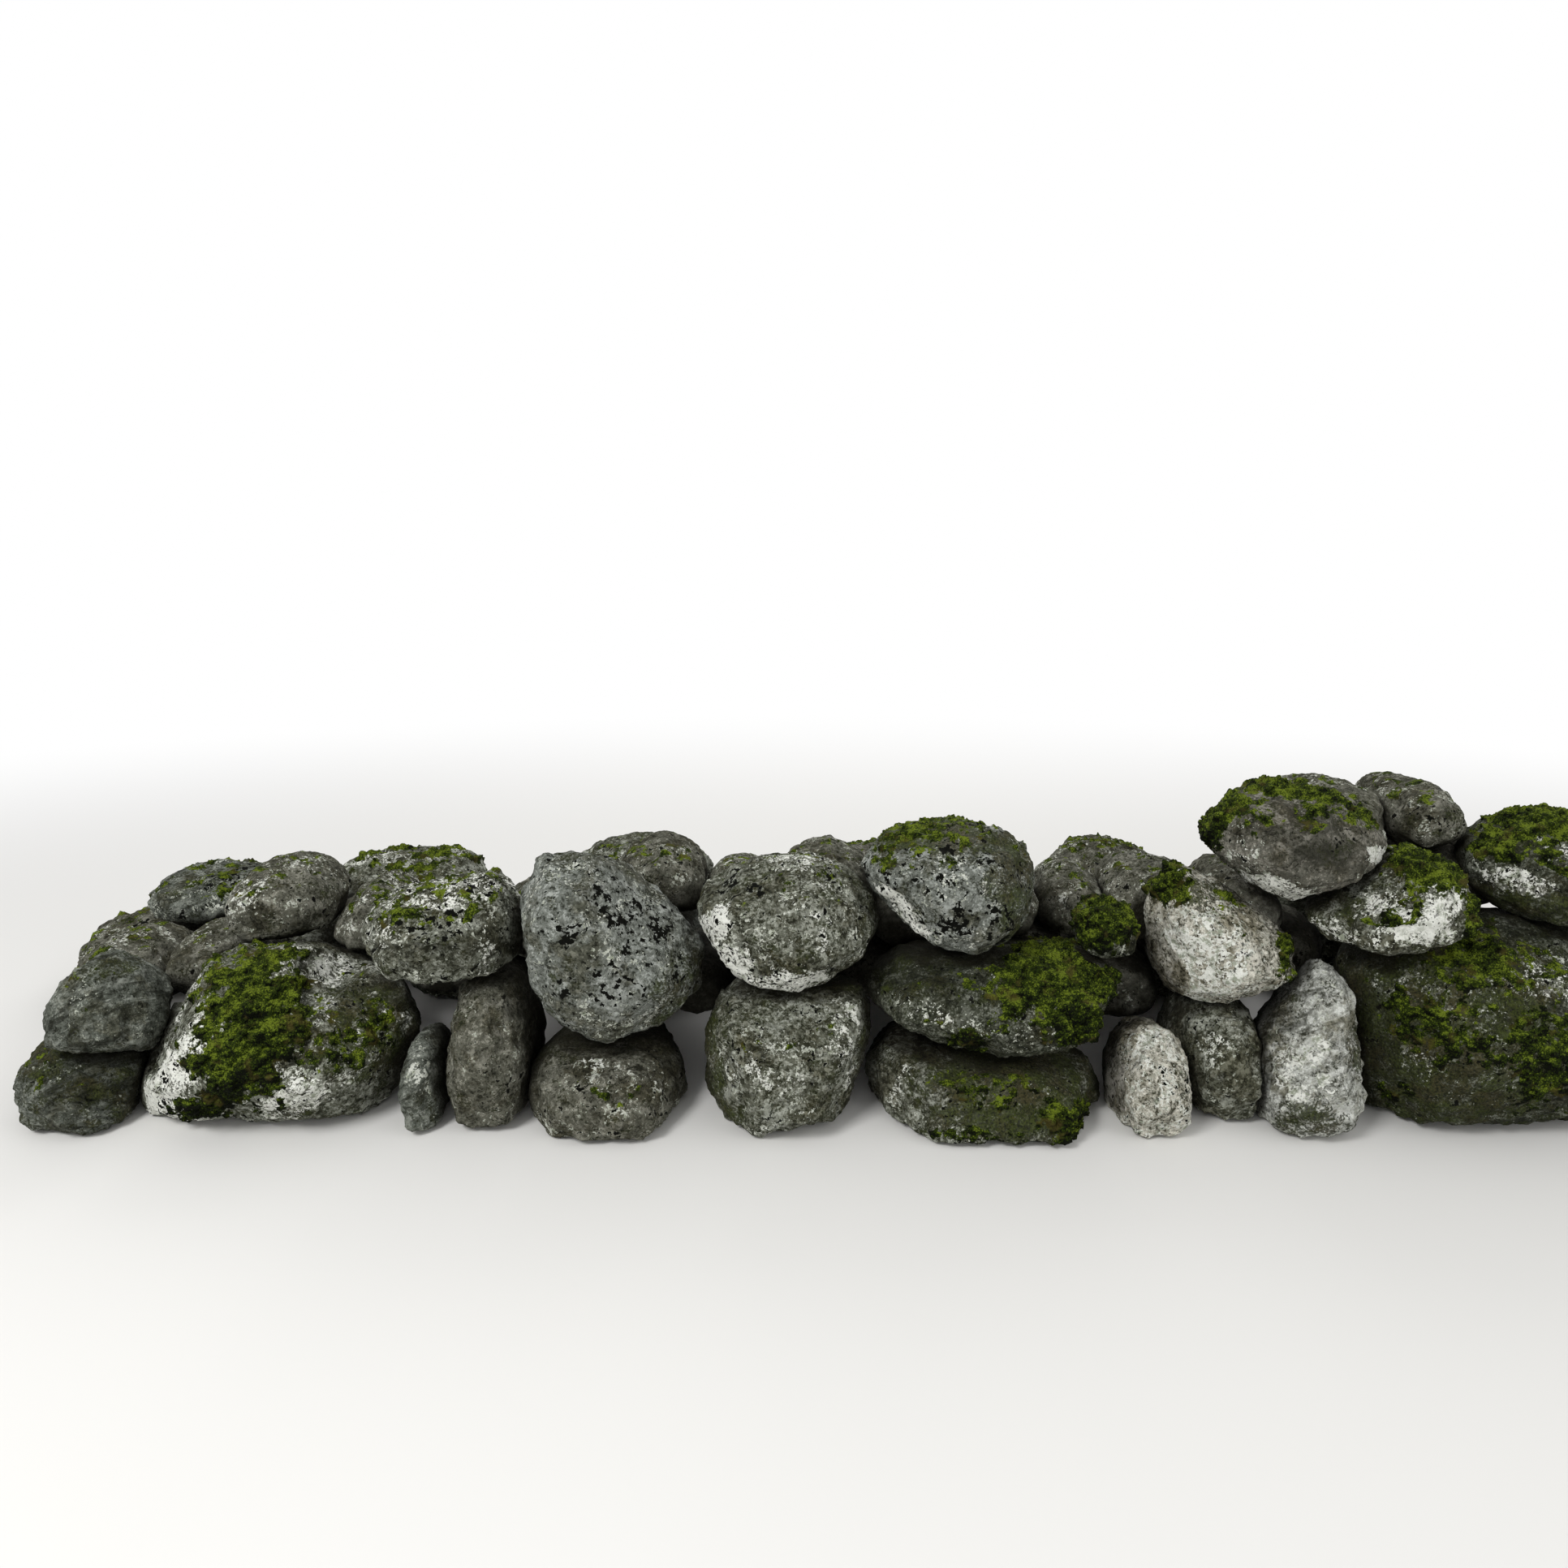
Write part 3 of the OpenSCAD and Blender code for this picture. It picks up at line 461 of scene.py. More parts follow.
stoneLooks = {
    "left_foot_stone": {
        "finish": "schist", "base": (-0.05, 0.7, 0.05), "ledges": 0.009, "topMoss": 0.5,
        "film": [(23, 78, 25, 20, 110, 20), (85, 50, 20, 50, 80), (45, 40, 50, 12, 80, 10)],
        "pale": [(40, 62, 28, 6, 45, 15), (45, 22, 25, 10, 30)], "shade": [(70, 50, 50, 50, 60)],
        "cracks": [(12, (15, 62), (45, 50), (95, 62)), (8, (20, 35), (60, 30), (90, 40))]},
    "left_capstone": {
        "finish": "schist", "base": (-0.15, 0.15, 0.0), "ledges": 0.003, "topMoss": 0.3,
        "pale": [(20, 62, 20, 30, 30), (60, 30, 30, 20, 25)],
        "chips": [(-75, -90, 15, 8), (60, -100, 10, 6), (0, -70, 80, 5), (10, -60, -80, 7)],
        "film": [(62, 85, 25, 12, 90, 10)],
        "cracks": [(14, (55, 95), (46, 60), (50, 34), (62, 6)), (7, (46, 60), (70, 52), (95, 56)),
                   (6, (10, 40), (30, 28), (50, 34))]},
    "mossy_boulder": {
        "finish": "lichenedGranite", "slot": "mossy_stone", "base": (0.5, 0.45, 0.15), "topMoss": 0.35,
        "moss": [(44, 62, 16, 34, 100), (36, 42, 14, 22, 100), (24, 22, 10, 8, 90, -15), (33, 84, 5, 12, 70),
                 (72, 36, 14, 12, 55, 15), (52, 90, 12, 4, 80, -5), (84, 50, 8, 10, 50)],
        "cracks": [(22, (63, 92), (61, 74), (58, 42), (42, 20))],
        "pale": [(8, 13, 17, 28, 170, 15), (17, 40, 9, 20, 150, -28), (27, 62, 6, 16, 110, -20),
                 (50, 16, 16, 10, 100, 20), (70, 78, 10, 10, 120, -20), (50, 96, 9, 5, 40),
                 (95, 50, 5, 22, 90), (66, 56, 6, 10, 80)],
        "film": [(80, 40, 20, 30, 115)], "spots": [(12, 20, 12, 15, 35)], "dents": [(30, 15, 8, 10, 12)]},
    "blue_chock": {
        "finish": "schist", "base": (0.3, 0.2, 0.05), "topMoss": 0.2, "pale": [(50, 60, 40, 30, 60)],
        "film": [(40, 10, 50, 20, 60)]},
    "lichen_block_foot": {"finish": "coreStone", "topMoss": 0.1},
    "speckled_boulder_foot": {
        "finish": "coreStone", "topMoss": 0.4, "film": [(20, 80, 30, 20, 80)]},
    "round_capstone_foot": {
        "finish": "oliveGranite", "base": (0.45, 0.4, 0.1), "topMoss": 0.3,
        "pale": [(30, 58, 22, 18, 50), (78, 48, 15, 12, 70, 20), (60, 20, 20, 10, 45)],
        "film": [(3, 35, 12, 40, 120), (10, 10, 15, 12, 110), (85, 93, 25, 10, 120), (45, 30, 12, 20, 70, 20),
                 (98, 50, 8, 40, 90)],
        "cracks": [(12, (36, 66), (50, 60), (62, 40), (90, 46)), (9, (50, 10), (66, 34), (80, 66)),
                   (8, (20, 30), (42, 42), (50, 60)), (7, (70, 20), (95, 34))],
        "chips": [(15, -100, 20, 7), (95, -60, -20, 6), (20, -80, 90, 6), (-95, -70, 10, 5),
                  (20, -70, -80, 6)]},
    "ledge_slab": {
        "finish": "oliveGranite", "base": (0.35, 0.35, 0.1), "topMoss": 0.3,
        "spots": [(20, 74, 22, 14, 62, -20)], "pale": [(12, 50, 12, 34, 70)],
        "film": [(62, 45, 42, 50, 130)],
        "moss": [(86, 22, 14, 18, 70), (50, 8, 30, 7, 45), (50, 45, 25, 20, 38, -10)],
        "shade": [(66, 50, 40, 50, 40)], "chips": [(-85, -75, 10, 8), (20, -100, 25, 7), (90, -50, 40, 5)]},
    "white_chock": {"finish": "paleGranite", "base": (0.7, 0.1, 0.1), "topMoss": 0.1,
                    "pale": [(50, 60, 50, 50, 70)]},
    "pale_granite_foot": {"finish": "oliveGranite", "topMoss": 0.2},
    "pointed_stone": {
        "finish": "bandedGranite", "base": (0.3, 0.25, -0.1), "topMoss": 0.2, "ledges": 0.005,
        "pale": [(40, 40, 30, 12, 90, 30), (60, 80, 12, 20, 60, -15), (60, 28, 30, 8, 90, 25)],
        "film": [(60, 10, 35, 12, 100), (88, 60, 10, 20, 100), (30, 70, 12, 12, 60)],
        "chips": [(85, -85, 30, 10), (-80, -90, 40, 9)]},
    "dark_boulder": {
        "finish": "mossyGranite", "base": (0.2, 0.55, 0.1), "topMoss": 0.6,
        "moss": [(48, 72, 14, 12, 70), (38, 42, 20, 12, 60, -20), (75, 40, 15, 20, 65), (20, 12, 15, 10, 55)],
        "film": [(40, 40, 50, 50, 110)],
        "pale": [(16, 82, 16, 12, 80), (28, 56, 14, 8, 75), (34, 28, 12, 6, 70), (70, 70, 16, 10, 75),
                 (50, 50, 10, 7, 60)]},
    "right_foot_stone": {"finish": "mossyGranite", "slot": "dark_stone", "topMoss": 0.4},
    "lichen_block": {
        "finish": "lichenedGranite", "base": (0.45, 0.35, 0.22), "topMoss": 0.45,
        "pale": [(50, 82, 50, 20, 90), (80, 60, 25, 20, 50)], "spots": [(50, 75, 45, 25, 55)],
        "film": [(35, 62, 25, 12, 85, -10), (60, 10, 40, 12, 30)], "moss": [(28, 68, 14, 7, 60, -10)],
        "shade": [(70, 28, 35, 22, 40)], "chips": [(10, -100, -25, 7), (0, -55, 90, 5), (-80, -70, 20, 5)],
        "cracks": [(18, (5, 42), (45, 30), (97, 24)), (11, (50, 60), (80, 55), (98, 60))]},
    "speckled_boulder": {
        "finish": "blueGranite", "base": (0.35, 0.2, 0.14), "topMoss": 0.1,
        "spots": [(62, 62, 26, 12, 68, -30), (20, 55, 12, 7, 65), (72, 44, 20, 8, 65, -15),
                  (24, 30, 12, 6, 60), (35, 96, 30, 4, 45), (84, 34, 10, 7, 65), (45, 30, 20, 12, 35),
                  (55, 80, 30, 15, 35)],
        "film": [(88, 22, 20, 25, 95), (6, 14, 10, 14, 90), (75, 95, 20, 6, 60)],
        "pale": [(35, 72, 30, 25, 30), (45, 15, 25, 15, 50), (70, 40, 25, 20, 45)],
        "chips": [(-30, -100, 10, 5), (65, -60, 65, 6), (60, -70, -60, 5), (-50, -60, -75, 5)]},
    "round_capstone": {
        "finish": "lichenedGranite", "base": (0.42, 0.45, 0.2), "topMoss": 0.25,
        "pale": [(10, 42, 8, 20, 170, -12), (20, 22, 13, 13, 150, -30), (50, 6, 34, 10, 130),
                 (55, 92, 25, 8, 85), (50, 60, 12, 13, 60), (80, 45, 12, 22, 55), (30, 30, 20, 20, 55)],
        "film": [(66, 36, 20, 20, 60), (95, 50, 10, 35, 80), (18, 78, 20, 10, 60)],
        "spots": [(22, 72, 18, 10, 60), (60, 30, 25, 20, 25)],
        "chips": [(-60, -90, -25, 5), (25, -100, 20, 4), (50, -60, -75, 5)]},
    "mossy_ledge": {
        "finish": "mossyGranite", "base": (0.22, 0.4, 0.1), "topMoss": 0.8,
        "moss": [(76, 68, 25, 34, 100), (60, 58, 12, 26, 75), (44, 12, 8, 10, 80), (85, 35, 14, 20, 90)],
        "pale": [(33, 28, 20, 10, 62, -25), (62, 16, 14, 6, 55), (50, 45, 10, 12, 35)],
        "film": [(48, 86, 20, 12, 70), (20, 60, 30, 30, 70)], "shade": [(20, 70, 25, 25, 40)],
        "chips": [(-15, -85, 60, 8), (-25, -80, -65, 8), (50, -90, 0, 5)]},
    "brown_capstone": {
        "finish": "blueGranite", "slot": "lichened_stone", "base": (0.35, 0.3, 0.3), "topMoss": 0.42,
        "moss": [(32, 86, 30, 8, 60, 10), (14, 66, 7, 12, 50)],
        "film": [(88, 50, 16, 45, 120), (36, 86, 45, 18, 140), (55, 68, 15, 10, 50)],
        "pale": [(26, 28, 6, 27, 170, 40), (50, 50, 25, 25, 40), (60, 12, 30, 10, 60, 10)],
        "spots": [(55, 50, 30, 30, 35), (70, 24, 25, 14, 60)],
        "chips": [(-75, -80, -45, 8), (30, -100, 10, 6), (0, -60, 85, 5), (60, -60, -60, 5)]},
    "moss_knob": {
        "finish": "mossyGranite", "topMoss": 1.0,
        "moss": [(50, 60, 50, 45, 100)], "pale": [(40, 15, 30, 15, 50)]},
    "pale_granite": {
        "finish": "paleGranite", "base": (0.6, 0.25, 0.02), "topMoss": 0.6,
        "moss": [(12, 84, 15, 14, 100), (58, 82, 12, 6, 90, -20), (94, 50, 7, 25, 90)],
        "pale": [(40, 30, 40, 35, 100)],
        "film": [(50, 8, 35, 7, 50), (75, 55, 20, 25, 50), (30, 82, 35, 14, 100)],
        "chips": [(-25, -100, 20, 7), (70, -60, 60, 7), (-30, -70, -70, 5)]},
    "patched_stone": {
        "finish": "lichenedGranite", "base": (0.5, 0.5, 0.12), "topMoss": 0.7,
        "moss": [(68, 84, 24, 20, 100, -10), (97, 45, 6, 30, 80)],
        "pale": [(78, 55, 13, 24, 110), (66, 28, 26, 17, 130, 10), (42, 42, 20, 20, 85), (35, 8, 20, 6, 80)],
        "film": [(20, 32, 20, 25, 90), (45, 60, 12, 10, 70)],
        "chips": [(25, -100, -15, 7), (-30, -70, 70, 5)]},
    "high_capstone": {
        "finish": "brownGranite", "base": (0.1, 0.3, 0.06), "topMoss": 0.62,
        "moss": [(46, 98, 46, 7.5, 100, -4), (5, 50, 8, 40, 95), (30, 82, 5, 7, 50), (88, 80, 12, 4, 90, -35),
                 (17, 78, 9, 12, 80, 40)],
        "pale": [(42, 8, 30, 12, 130, -5), (95, 48, 7, 9, 120), (25, 35, 10, 18, 70)],
        "shade": [(70, 45, 16, 12, 80), (65, 70, 8, 12, 50)],
        "chips": [(10, -100, 20, 10), (10, -60, -80, 7), (75, -70, 20, 5)]},
    "right_capstone": {
        "finish": "mossyGranite", "base": (0.25, 0.5, 0.1), "topMoss": 1.0,
        "moss": [(35, 90, 50, 12, 100), (20, 60, 14, 16, 75, 20), (75, 50, 20, 20, 65)],
        "pale": [(30, 30, 22, 12, 100), (50, 66, 14, 8, 80), (6, 85, 8, 8, 90)],
        "film": [(40, 15, 40, 16, 100)]},
}


def inShares(values):
    return tuple(value / 100 for value in values)


for look in stoneLooks.values():
    for kind in ("moss", "pale", "spots", "film", "shade"):
        look[kind] = [(*inShares(patch[:5]), *patch[5:]) for patch in look.get(kind, [])]
    look["dents"] = [(*inShares(dent[:4]), dent[4] / 1000) for dent in look.get("dents", [])]
    look["cracks"] = [(deep / 1000, *map(inShares, line)) for deep, *line in look.get("cracks", [])]
    look["chips"] = [inShares(chip) for chip in look.get("chips", [])]

# The unseen side and the core

backFinishes = {
    "foot": ("coreStone", "oliveGranite", "mossyGranite", "blueGranite", "coreStone", "lichenedGranite",
             "oliveGranite", "mossyGranite"),
    "capstone": ("schist", "oliveGranite", "lichenedGranite", "brownGranite", "coreStone", "lichenedGranite"),
}
# a kind of growth with its most patches and its strength
backGrowth = {"moss": (2, 0.9), "pale": (4, 0.9), "film": (2, 0.9), "spots": (2, 0.6)}


def backLook(finish, draw):
    # the unseen side wears the same growth as the front, dealt out by a seeded draw
    look = {"finish": finish, "topMoss": draw.uniform(0.3, 1.0), "back": True}
    for kind, (most, strength) in backGrowth.items():
        look[kind] = []
        for _ in range(draw.randint(1, most)):
            middle = (draw.uniform(0.1, 0.9), draw.uniform(0.15, 0.95))
            half = (draw.uniform(0.08, 0.28), draw.uniform(0.08, 0.24))
            look[kind].append((*middle, *half, draw.uniform(0.5, 1.0) * strength, draw.uniform(-40, 40)))
    return look


backSeed = 410
for part, partFinishes in backFinishes.items():
    for number, finish in enumerate(partFinishes, 1):
        stoneLooks["back_%s_%d" % (part, number)] = backLook(finish, random.Random(backSeed))
        backSeed += 1
for layer in range(1, 5):
    look = {"finish": "coreStone", "slot": "granite", "topMoss": 0.45, "core": True}
    stoneLooks["hearting_%d" % layer] = look
for look in stoneLooks.values():
    look.setdefault("slot", finishes[look["finish"]]["slot"])

# Mesh and noise helpers

# a kind of noise is how much it gives at most, its size in metres and its octaves

noiseSet = {"shift": (7.31, 3.17, 5.71), "cellShift": 2.37, "fade": 0.7, "finer": 2.1}


def softStep(values, start, end):
    share = np.clip((values - start) / (end - start), 0, 1)
    return share * share * (3 - 2 * share)


def noiseAt(points, seed, most, size, octaves):
    # smooth seeded noise, from about -most to most
    shifted = (points / size + seed * np.array(noiseSet["shift"])).tolist()
    return np.array([noise.fractal(p, noiseSet["fade"], noiseSet["finer"], octaves) for p in shifted]) * most


def pitsAt(points, seed, size):
    # distance to the nearest seeded point, in shares of the size
    shifted = (points / size + seed * noiseSet["cellShift"]).tolist()
    return np.array([noise.voronoi(p)[0][0] for p in shifted])


def readMesh(mesh):
    points = np.zeros(len(mesh.vertices) * 3)
    mesh.vertices.foreach_get("co", points)
    normals = np.zeros(len(mesh.vertices) * 3)
    mesh.vertex_normals.foreach_get("vector", normals)
    return points.reshape(-1, 3), normals.reshape(-1, 3)


def writePoints(mesh, points):
    mesh.vertices.foreach_set("co", points.ravel())
    mesh.update()


def readCover(mesh, name):
    values = np.zeros(len(mesh.vertices), np.float32)
    mesh.attributes[name].data.foreach_get("value", values)
    return values.astype(float)


def writeCover(mesh, name, values):
    layer = mesh.attributes.get(name) or mesh.attributes.new(name, "FLOAT", "POINT")
    layer.data.foreach_set("value", values.astype(np.float32))


def refine(mesh, chosen):
    # edges between two chosen points are cut in half
    work = bmesh.new()
    work.from_mesh(mesh)
    work.verts.ensure_lookup_table()
    edges = [e for e in work.edges if chosen[e.verts[0].index] and chosen[e.verts[1].index]]
    bmesh.ops.subdivide_edges(work, edges=edges, cuts=1, use_grid_fill=True, smooth=0)
    work.to_mesh(mesh)
    work.free()
    mesh.update()


# How much of the sky each point sees

skySet = {"rays": 14, "span": 1.25, "turn": 2.39996, "lift": 0.004, "reach": 0.45, "grazing": 0.05}

solids = {}
for name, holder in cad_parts.items():
    verts = [v.co.copy() for v in holder.data.vertices]
    solids[name] = (verts, [tuple(p.vertices) for p in holder.data.polygons])

skyRays = []
for step in range(skySet["rays"]):
    # from nearly straight up to a little below level
    height = 1 - (step + 0.5) / skySet["rays"] * skySet["span"]
    turn = step * skySet["turn"]
    level = math.sqrt(max(0, 1 - height * height))
    skyRays.append(Vector((math.cos(turn) * level, math.sin(turn) * level, height)))


def othersTree(node):
    verts, faces = [], []
    for name, (points, polygons) in solids.items():
        if name != node:
            start = len(verts)
            verts += points
            faces += [tuple(i + start for i in polygon) for polygon in polygons]
    return BVHTree.FromPolygons(verts, faces)


def opennessAt(points, normals, tree):
    # the share of the sky and the surroundings that each point sees past the other stones
    result = np.zeros(len(points))
    for index, (point, normal) in enumerate(zip(points.tolist(), normals.tolist())):
        start, facing = Vector(point), Vector(normal)
        start += facing * skySet["lift"]
        total, free = 0.0, 0.0
        for ray in skyRays:
            weight = ray.dot(facing)
            if weight > skySet["grazing"]:
                total += weight
                if tree.ray_cast(start, ray, skySet["reach"])[0] is None:
                    free += weight
        result[index] = free / total if total else 0.0
    return result


# Growth on a stone

growthSet = {
    "shown": (-0.3, 0.15), "ragged": (1.0, 0.05, 4), "broad": (1.0, 0.12, 3), "other": (1.0, 0.09, 3),
    "patchRagged": 0.35, "patchFade": 0.45, "mossSoft": 1.5, "base": (0.35, 0.3, 0.1),
    # what the broad noise, the other noise and the sides out of sight add to the base
    "thin": {"pale": (0.45, 0.0, 0.1), "film": (-0.3, 0.4, 0.0), "spots": (0.0, 0.15, 0.0)},
    "underEdge": (-0.1, -0.8), "underFilm": 0.45,
    "topBroad": 0.35, "topEdge": (0.5, 0.95), "topOpen": (0.45, 0.8), "topRagged": (-0.35, 0.35),
    "topFilm": 0.6, "rim": (0.5, 0.022, 3), "rimFilm": 0.75,
    "mossOpen": (0.12, 0.4), "crustOpen": (0.15, 0.5),
}
frontEye = Vector(cameraSet["place"])
backEye = Vector((0.3, 4.2, 1.3))


def seenFrom(points, normals, eye):
    # where each point shows across and up the stone's outline, and how far it faces the eye
    centre = points.mean(0)
    look = centre - np.array(eye)
    look /= np.linalg.norm(look)
    across = np.cross(look, (0, 0, 1))
    across /= np.linalg.norm(across)
    upward = np.cross(across, look)
    flat = np.stack([(points - centre) @ across, (points - centre) @ upward], 1)
    low, high = flat.min(0), flat.max(0)
    return (flat - low) / (high - low), high - low, -(normals @ look)


def patchCover(shares, patches, ragged, soft):
    cover = np.zeros(len(shares))
    fade = growthSet["patchFade"] * soft
    for across, up, wide, high, strength, *turn in patches:
        angle = math.radians(sum(turn))
        offset = shares - (across, up)
        along = offset[:, 0] * math.cos(angle) + offset[:, 1] * math.sin(angle)
        over = offset[:, 1] * math.cos(angle) - offset[:, 0] * math.sin(angle)
        far = np.sqrt((along / wide) ** 2 + (over / high) ** 2) + ragged * growthSet["patchRagged"] * soft
        cover = np.maximum(cover, strength * softStep(far, 1 + fade, 1 - fade))
    return cover


def growthCovers(points, normals, openness, look, seed):
    values = growthSet
    shares, extent, facing = seenFrom(points, normals, backEye if look.get("back") else frontEye)
    shown = softStep(facing, *values["shown"])
    ragged = noiseAt(points, seed + 1, *values["ragged"])
    broad = noiseAt(points, seed + 2, *values["broad"])
    other = noiseAt(points, seed + 10, *values["other"])
    covers = {}
    for kind in ("moss", "pale", "spots", "film", "shade"):
        soft = values["mossSoft"] if kind == "moss" else 1.0
        covers[kind] = patchCover(shares, look.get(kind, []), ragged, soft) * shown

    def grow(kind, cover):
        covers[kind] = np.maximum(covers[kind], cover)

    # a thin growth everywhere, with a little more crust on the sides that no patch reaches
    away = 1.0 if look.get("core") else 1 - shown
    for (kind, weights), cover in zip(values["thin"].items(), look.get("base", values["base"])):
        for weight, layer in zip(weights, (broad, other, away)):
            cover = cover + weight * layer
        grow(kind, np.clip(cover, 0, 1))
    # more film on the sides that face down, and moss and film on the open top
    grow("film", softStep(normals[:, 2], *values["underEdge"]) * values["underFilm"])
    top = softStep(normals[:, 2] + broad * values["topBroad"], *values["topEdge"])
    top = top * softStep(openness, *values["topOpen"])
    grow("moss", top * look["topMoss"] * softStep(ragged, *values["topRagged"]))
    grow("film", top * values["topFilm"])
    # the rim of the moss is torn and has film about it
    rim = covers["moss"] * (1 - covers["moss"]) * 4
    covers["moss"] += noiseAt(points, seed + 12, *values["rim"]) * rim
    grow("film", np.clip(rim, 0, 1) * values["rimFilm"])
    covers["moss"] *= softStep(openness, *values["mossOpen"])
    covers["pale"] *= softStep(openness, *values["crustOpen"])
    covers["open"] = openness
    return covers, shares, extent, shown


# Relief of a stone, in metres

reliefSet = {
    "freeOpen": (0.1, 0.45), "heldShare": 0.35,
    "lump": (0.005, 0.2, 2), "knob": (0.0052, 0.035, 4), "grain": (0.0014, 0.012, 2),
    "fold": (1.6, 0.08, 2), "foldHigh": 0.008,
    "pitSize": 0.03, "pitDeep": 0.0035, "pitEdge": (0.4, 0.1), "pitShare": 0.3,
    "crackWave": (1.0, 0.03, 2), "crackSway": 0.014, "crackMean": 0.55, "crackVary": 0.9, "crackLeast": 0.1,
    "crackNarrow": 0.004, "crackFlare": 0.32, "crackDark": (0.002, 0.01), "crackShade": 0.8,
    "dentEdge": (1.5, 0.0), "layerWay": (0.28, 0.2, 0.94), "layerThick": 0.022, "layerWarp": (1.6, 0.11, 2),
    "ledgeEdge": (0.55, 1.0), "ledgeNoise": (1.0, 0.09, 2), "ledgePlaces": (-0.3, 0.3),
}


def crackDepth(shares, extent, cracks, wave):
    values = reliefSet
    depth = np.zeros(len(shares))
    flat = shares * extent
    strength = np.clip(values["crackMean"] + wave * values["crackVary"], values["crackLeast"], 1)
    for deep, *line in cracks:
        line = [np.array(p) * extent for p in line]
        nearest = np.full(len(flat), np.inf)
        for start, end in zip(line, line[1:]):
            run = end - start
            share = np.clip(((flat - start) @ run) / (run @ run), 0, 1)
            nearest = np.minimum(nearest, np.linalg.norm(flat - start - share[:, None] * run, axis=1))
        nearest = np.abs(nearest + wave * values["crackSway"])
        width = values["crackNarrow"] + deep * values["crackFlare"]
        depth = np.maximum(depth, deep * strength * np.exp(-(nearest / width) ** 2))
    return depth


def stoneRelief(points, openness, covers, shares, extent, shown, look, seed):
    # how far each point of the bare stone stands out or lies back
    values = reliefSet
    held = values["heldShare"]
    free = held + (1 - held) * softStep(openness, *values["freeOpen"])
    rise = noiseAt(points, seed, *values["lump"]) * free
    creased = 0.5 - np.abs(noiseAt(points, seed + 3, *values["fold"]))
    rise += np.clip(creased, -1, 0.5) * values["foldHigh"] * free
    rise += noiseAt(points, seed + 4, *values["knob"])
    rise += noiseAt(points, seed + 5, *values["grain"])
    if look.get("core"):
        return rise
    pits = softStep(pitsAt(points, seed, values["pitSize"]), *values["pitEdge"])
    rise -= pits * values["pitDeep"] * np.clip(values["pitShare"] + covers["spots"], 0, 1)
    wave = noiseAt(points, seed + 6, *values["crackWave"])
    cracked = crackDepth(shares, extent, look.get("cracks", []), wave) * shown
    dark = softStep(cracked, *values["crackDark"]) * values["crackShade"]
    covers["shade"] = np.maximum(covers["shade"], dark)
    rise -= cracked
    for across, up, wide, high, deep in look.get("dents", []):
        far = np.sqrt(((shares[:, 0] - across) / wide) ** 2 + ((shares[:, 1] - up) / high) ** 2)
        rise -= deep * softStep(far, *values["dentEdge"]) * shown
    if look.get("ledges"):
        layers = (points @ np.array(values["layerWay"])) / values["layerThick"]
        layers += noiseAt(points, seed + 7, *values["layerWarp"])
        ledge = look["ledges"] * softStep(layers - np.floor(layers), *values["ledgeEdge"])
        rise -= ledge * softStep(noiseAt(points, seed + 8, *values["ledgeNoise"]), *values["ledgePlaces"])
    return rise


mossWork = {
    "fineCover": 0.35, "edge": (0.3, 0.5), "thickEdge": (0.4, 0.9), "thinShare": 0.25,
    "high": 0.013, "clump": (0.9, 0.03, 3), "clumpMean": 0.75,
    "tuftSize": 0.0085, "tuftMean": 0.3, "tuftVary": 0.75, "least": 0.1, "most": 2.0,
    "lean": (0.0, 0.0, 0.35),
}


def raiseMoss(mesh, seed):
    # moss stands up in clumps, and on them in small tufts
    values = mossWork
    refine(mesh, readCover(mesh, "mossCover") > values["fineCover"])
    points, normals = readMesh(mesh)
    cover = readCover(mesh, "mossCover")
    thin = values["thinShare"]
    moss = softStep(cover, *values["edge"]) * (thin + (1 - thin) * softStep(cover, *values["thickEdge"]))
    clump = values["clumpMean"] + noiseAt(points, seed + 10, *values["clump"])
    tuft = values["tuftMean"] - pitsAt(points, seed + 11, values["tuftSize"]) * values["tuftVary"]
    high = values["high"] * moss * np.clip(clump + tuft, values["least"], values["most"])
    way = normals + np.array(values["lean"])
    writePoints(mesh, points + way / np.linalg.norm(way, axis=1)[:, None] * high[:, None])


# Making the stones

stoneWork = {
    "voxel": 0.0135, "backVoxel": 0.0166, "coreVoxel": 0.0195, "weld": 0.00001,
    "softShare": 0.5, "softSteps": 2, "chips": 18, "chipShares": (0.01, 0.055), "chipBias": 1.6,
    "chipFlat": 0.92, "chipOpen": (0.1, 0.35),
    "fineOpen": 0.16, "backFineOpen": 0.4,  # the mesh is made finer where a stone is more open than this
    # the hollow edge and share set how much painted shade falls in concave places
    "bendLeast": 0.004, "bendSteps": 2, "ridgeEdge": (0.12, 0.5), "hollowEdge": (0.1, 0.45),
    "hollowShare": 0.7, "mostCover": 1.7,
}


def closedCopy(node, voxelSize):
    # the solid's own shape as one even closed mesh with its straight edges rounded off
    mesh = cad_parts[node].data.copy()
    mesh.materials.clear()
    work = bmesh.new()
    work.from_mesh(mesh)
    bmesh.ops.remove_doubles(work, verts=work.verts, dist=stoneWork["weld"])
    work.to_mesh(mesh)
    work.free()
    piece = addObject(node + "_stone", mesh)
    even = piece.modifiers.new("even", "REMESH")
    even.mode = "VOXEL"
    even.voxel_size = voxelSize
    soft = piece.modifiers.new("soft", "SMOOTH")
    soft.factor = stoneWork["softShare"]
    soft.iterations = stoneWork["softSteps"]
    shaped = bpy.data.meshes.new_from_object(piece.evaluated_get(bpy.context.evaluated_depsgraph_get()))
    piece.modifiers.clear()
    piece.data = shaped
    return piece


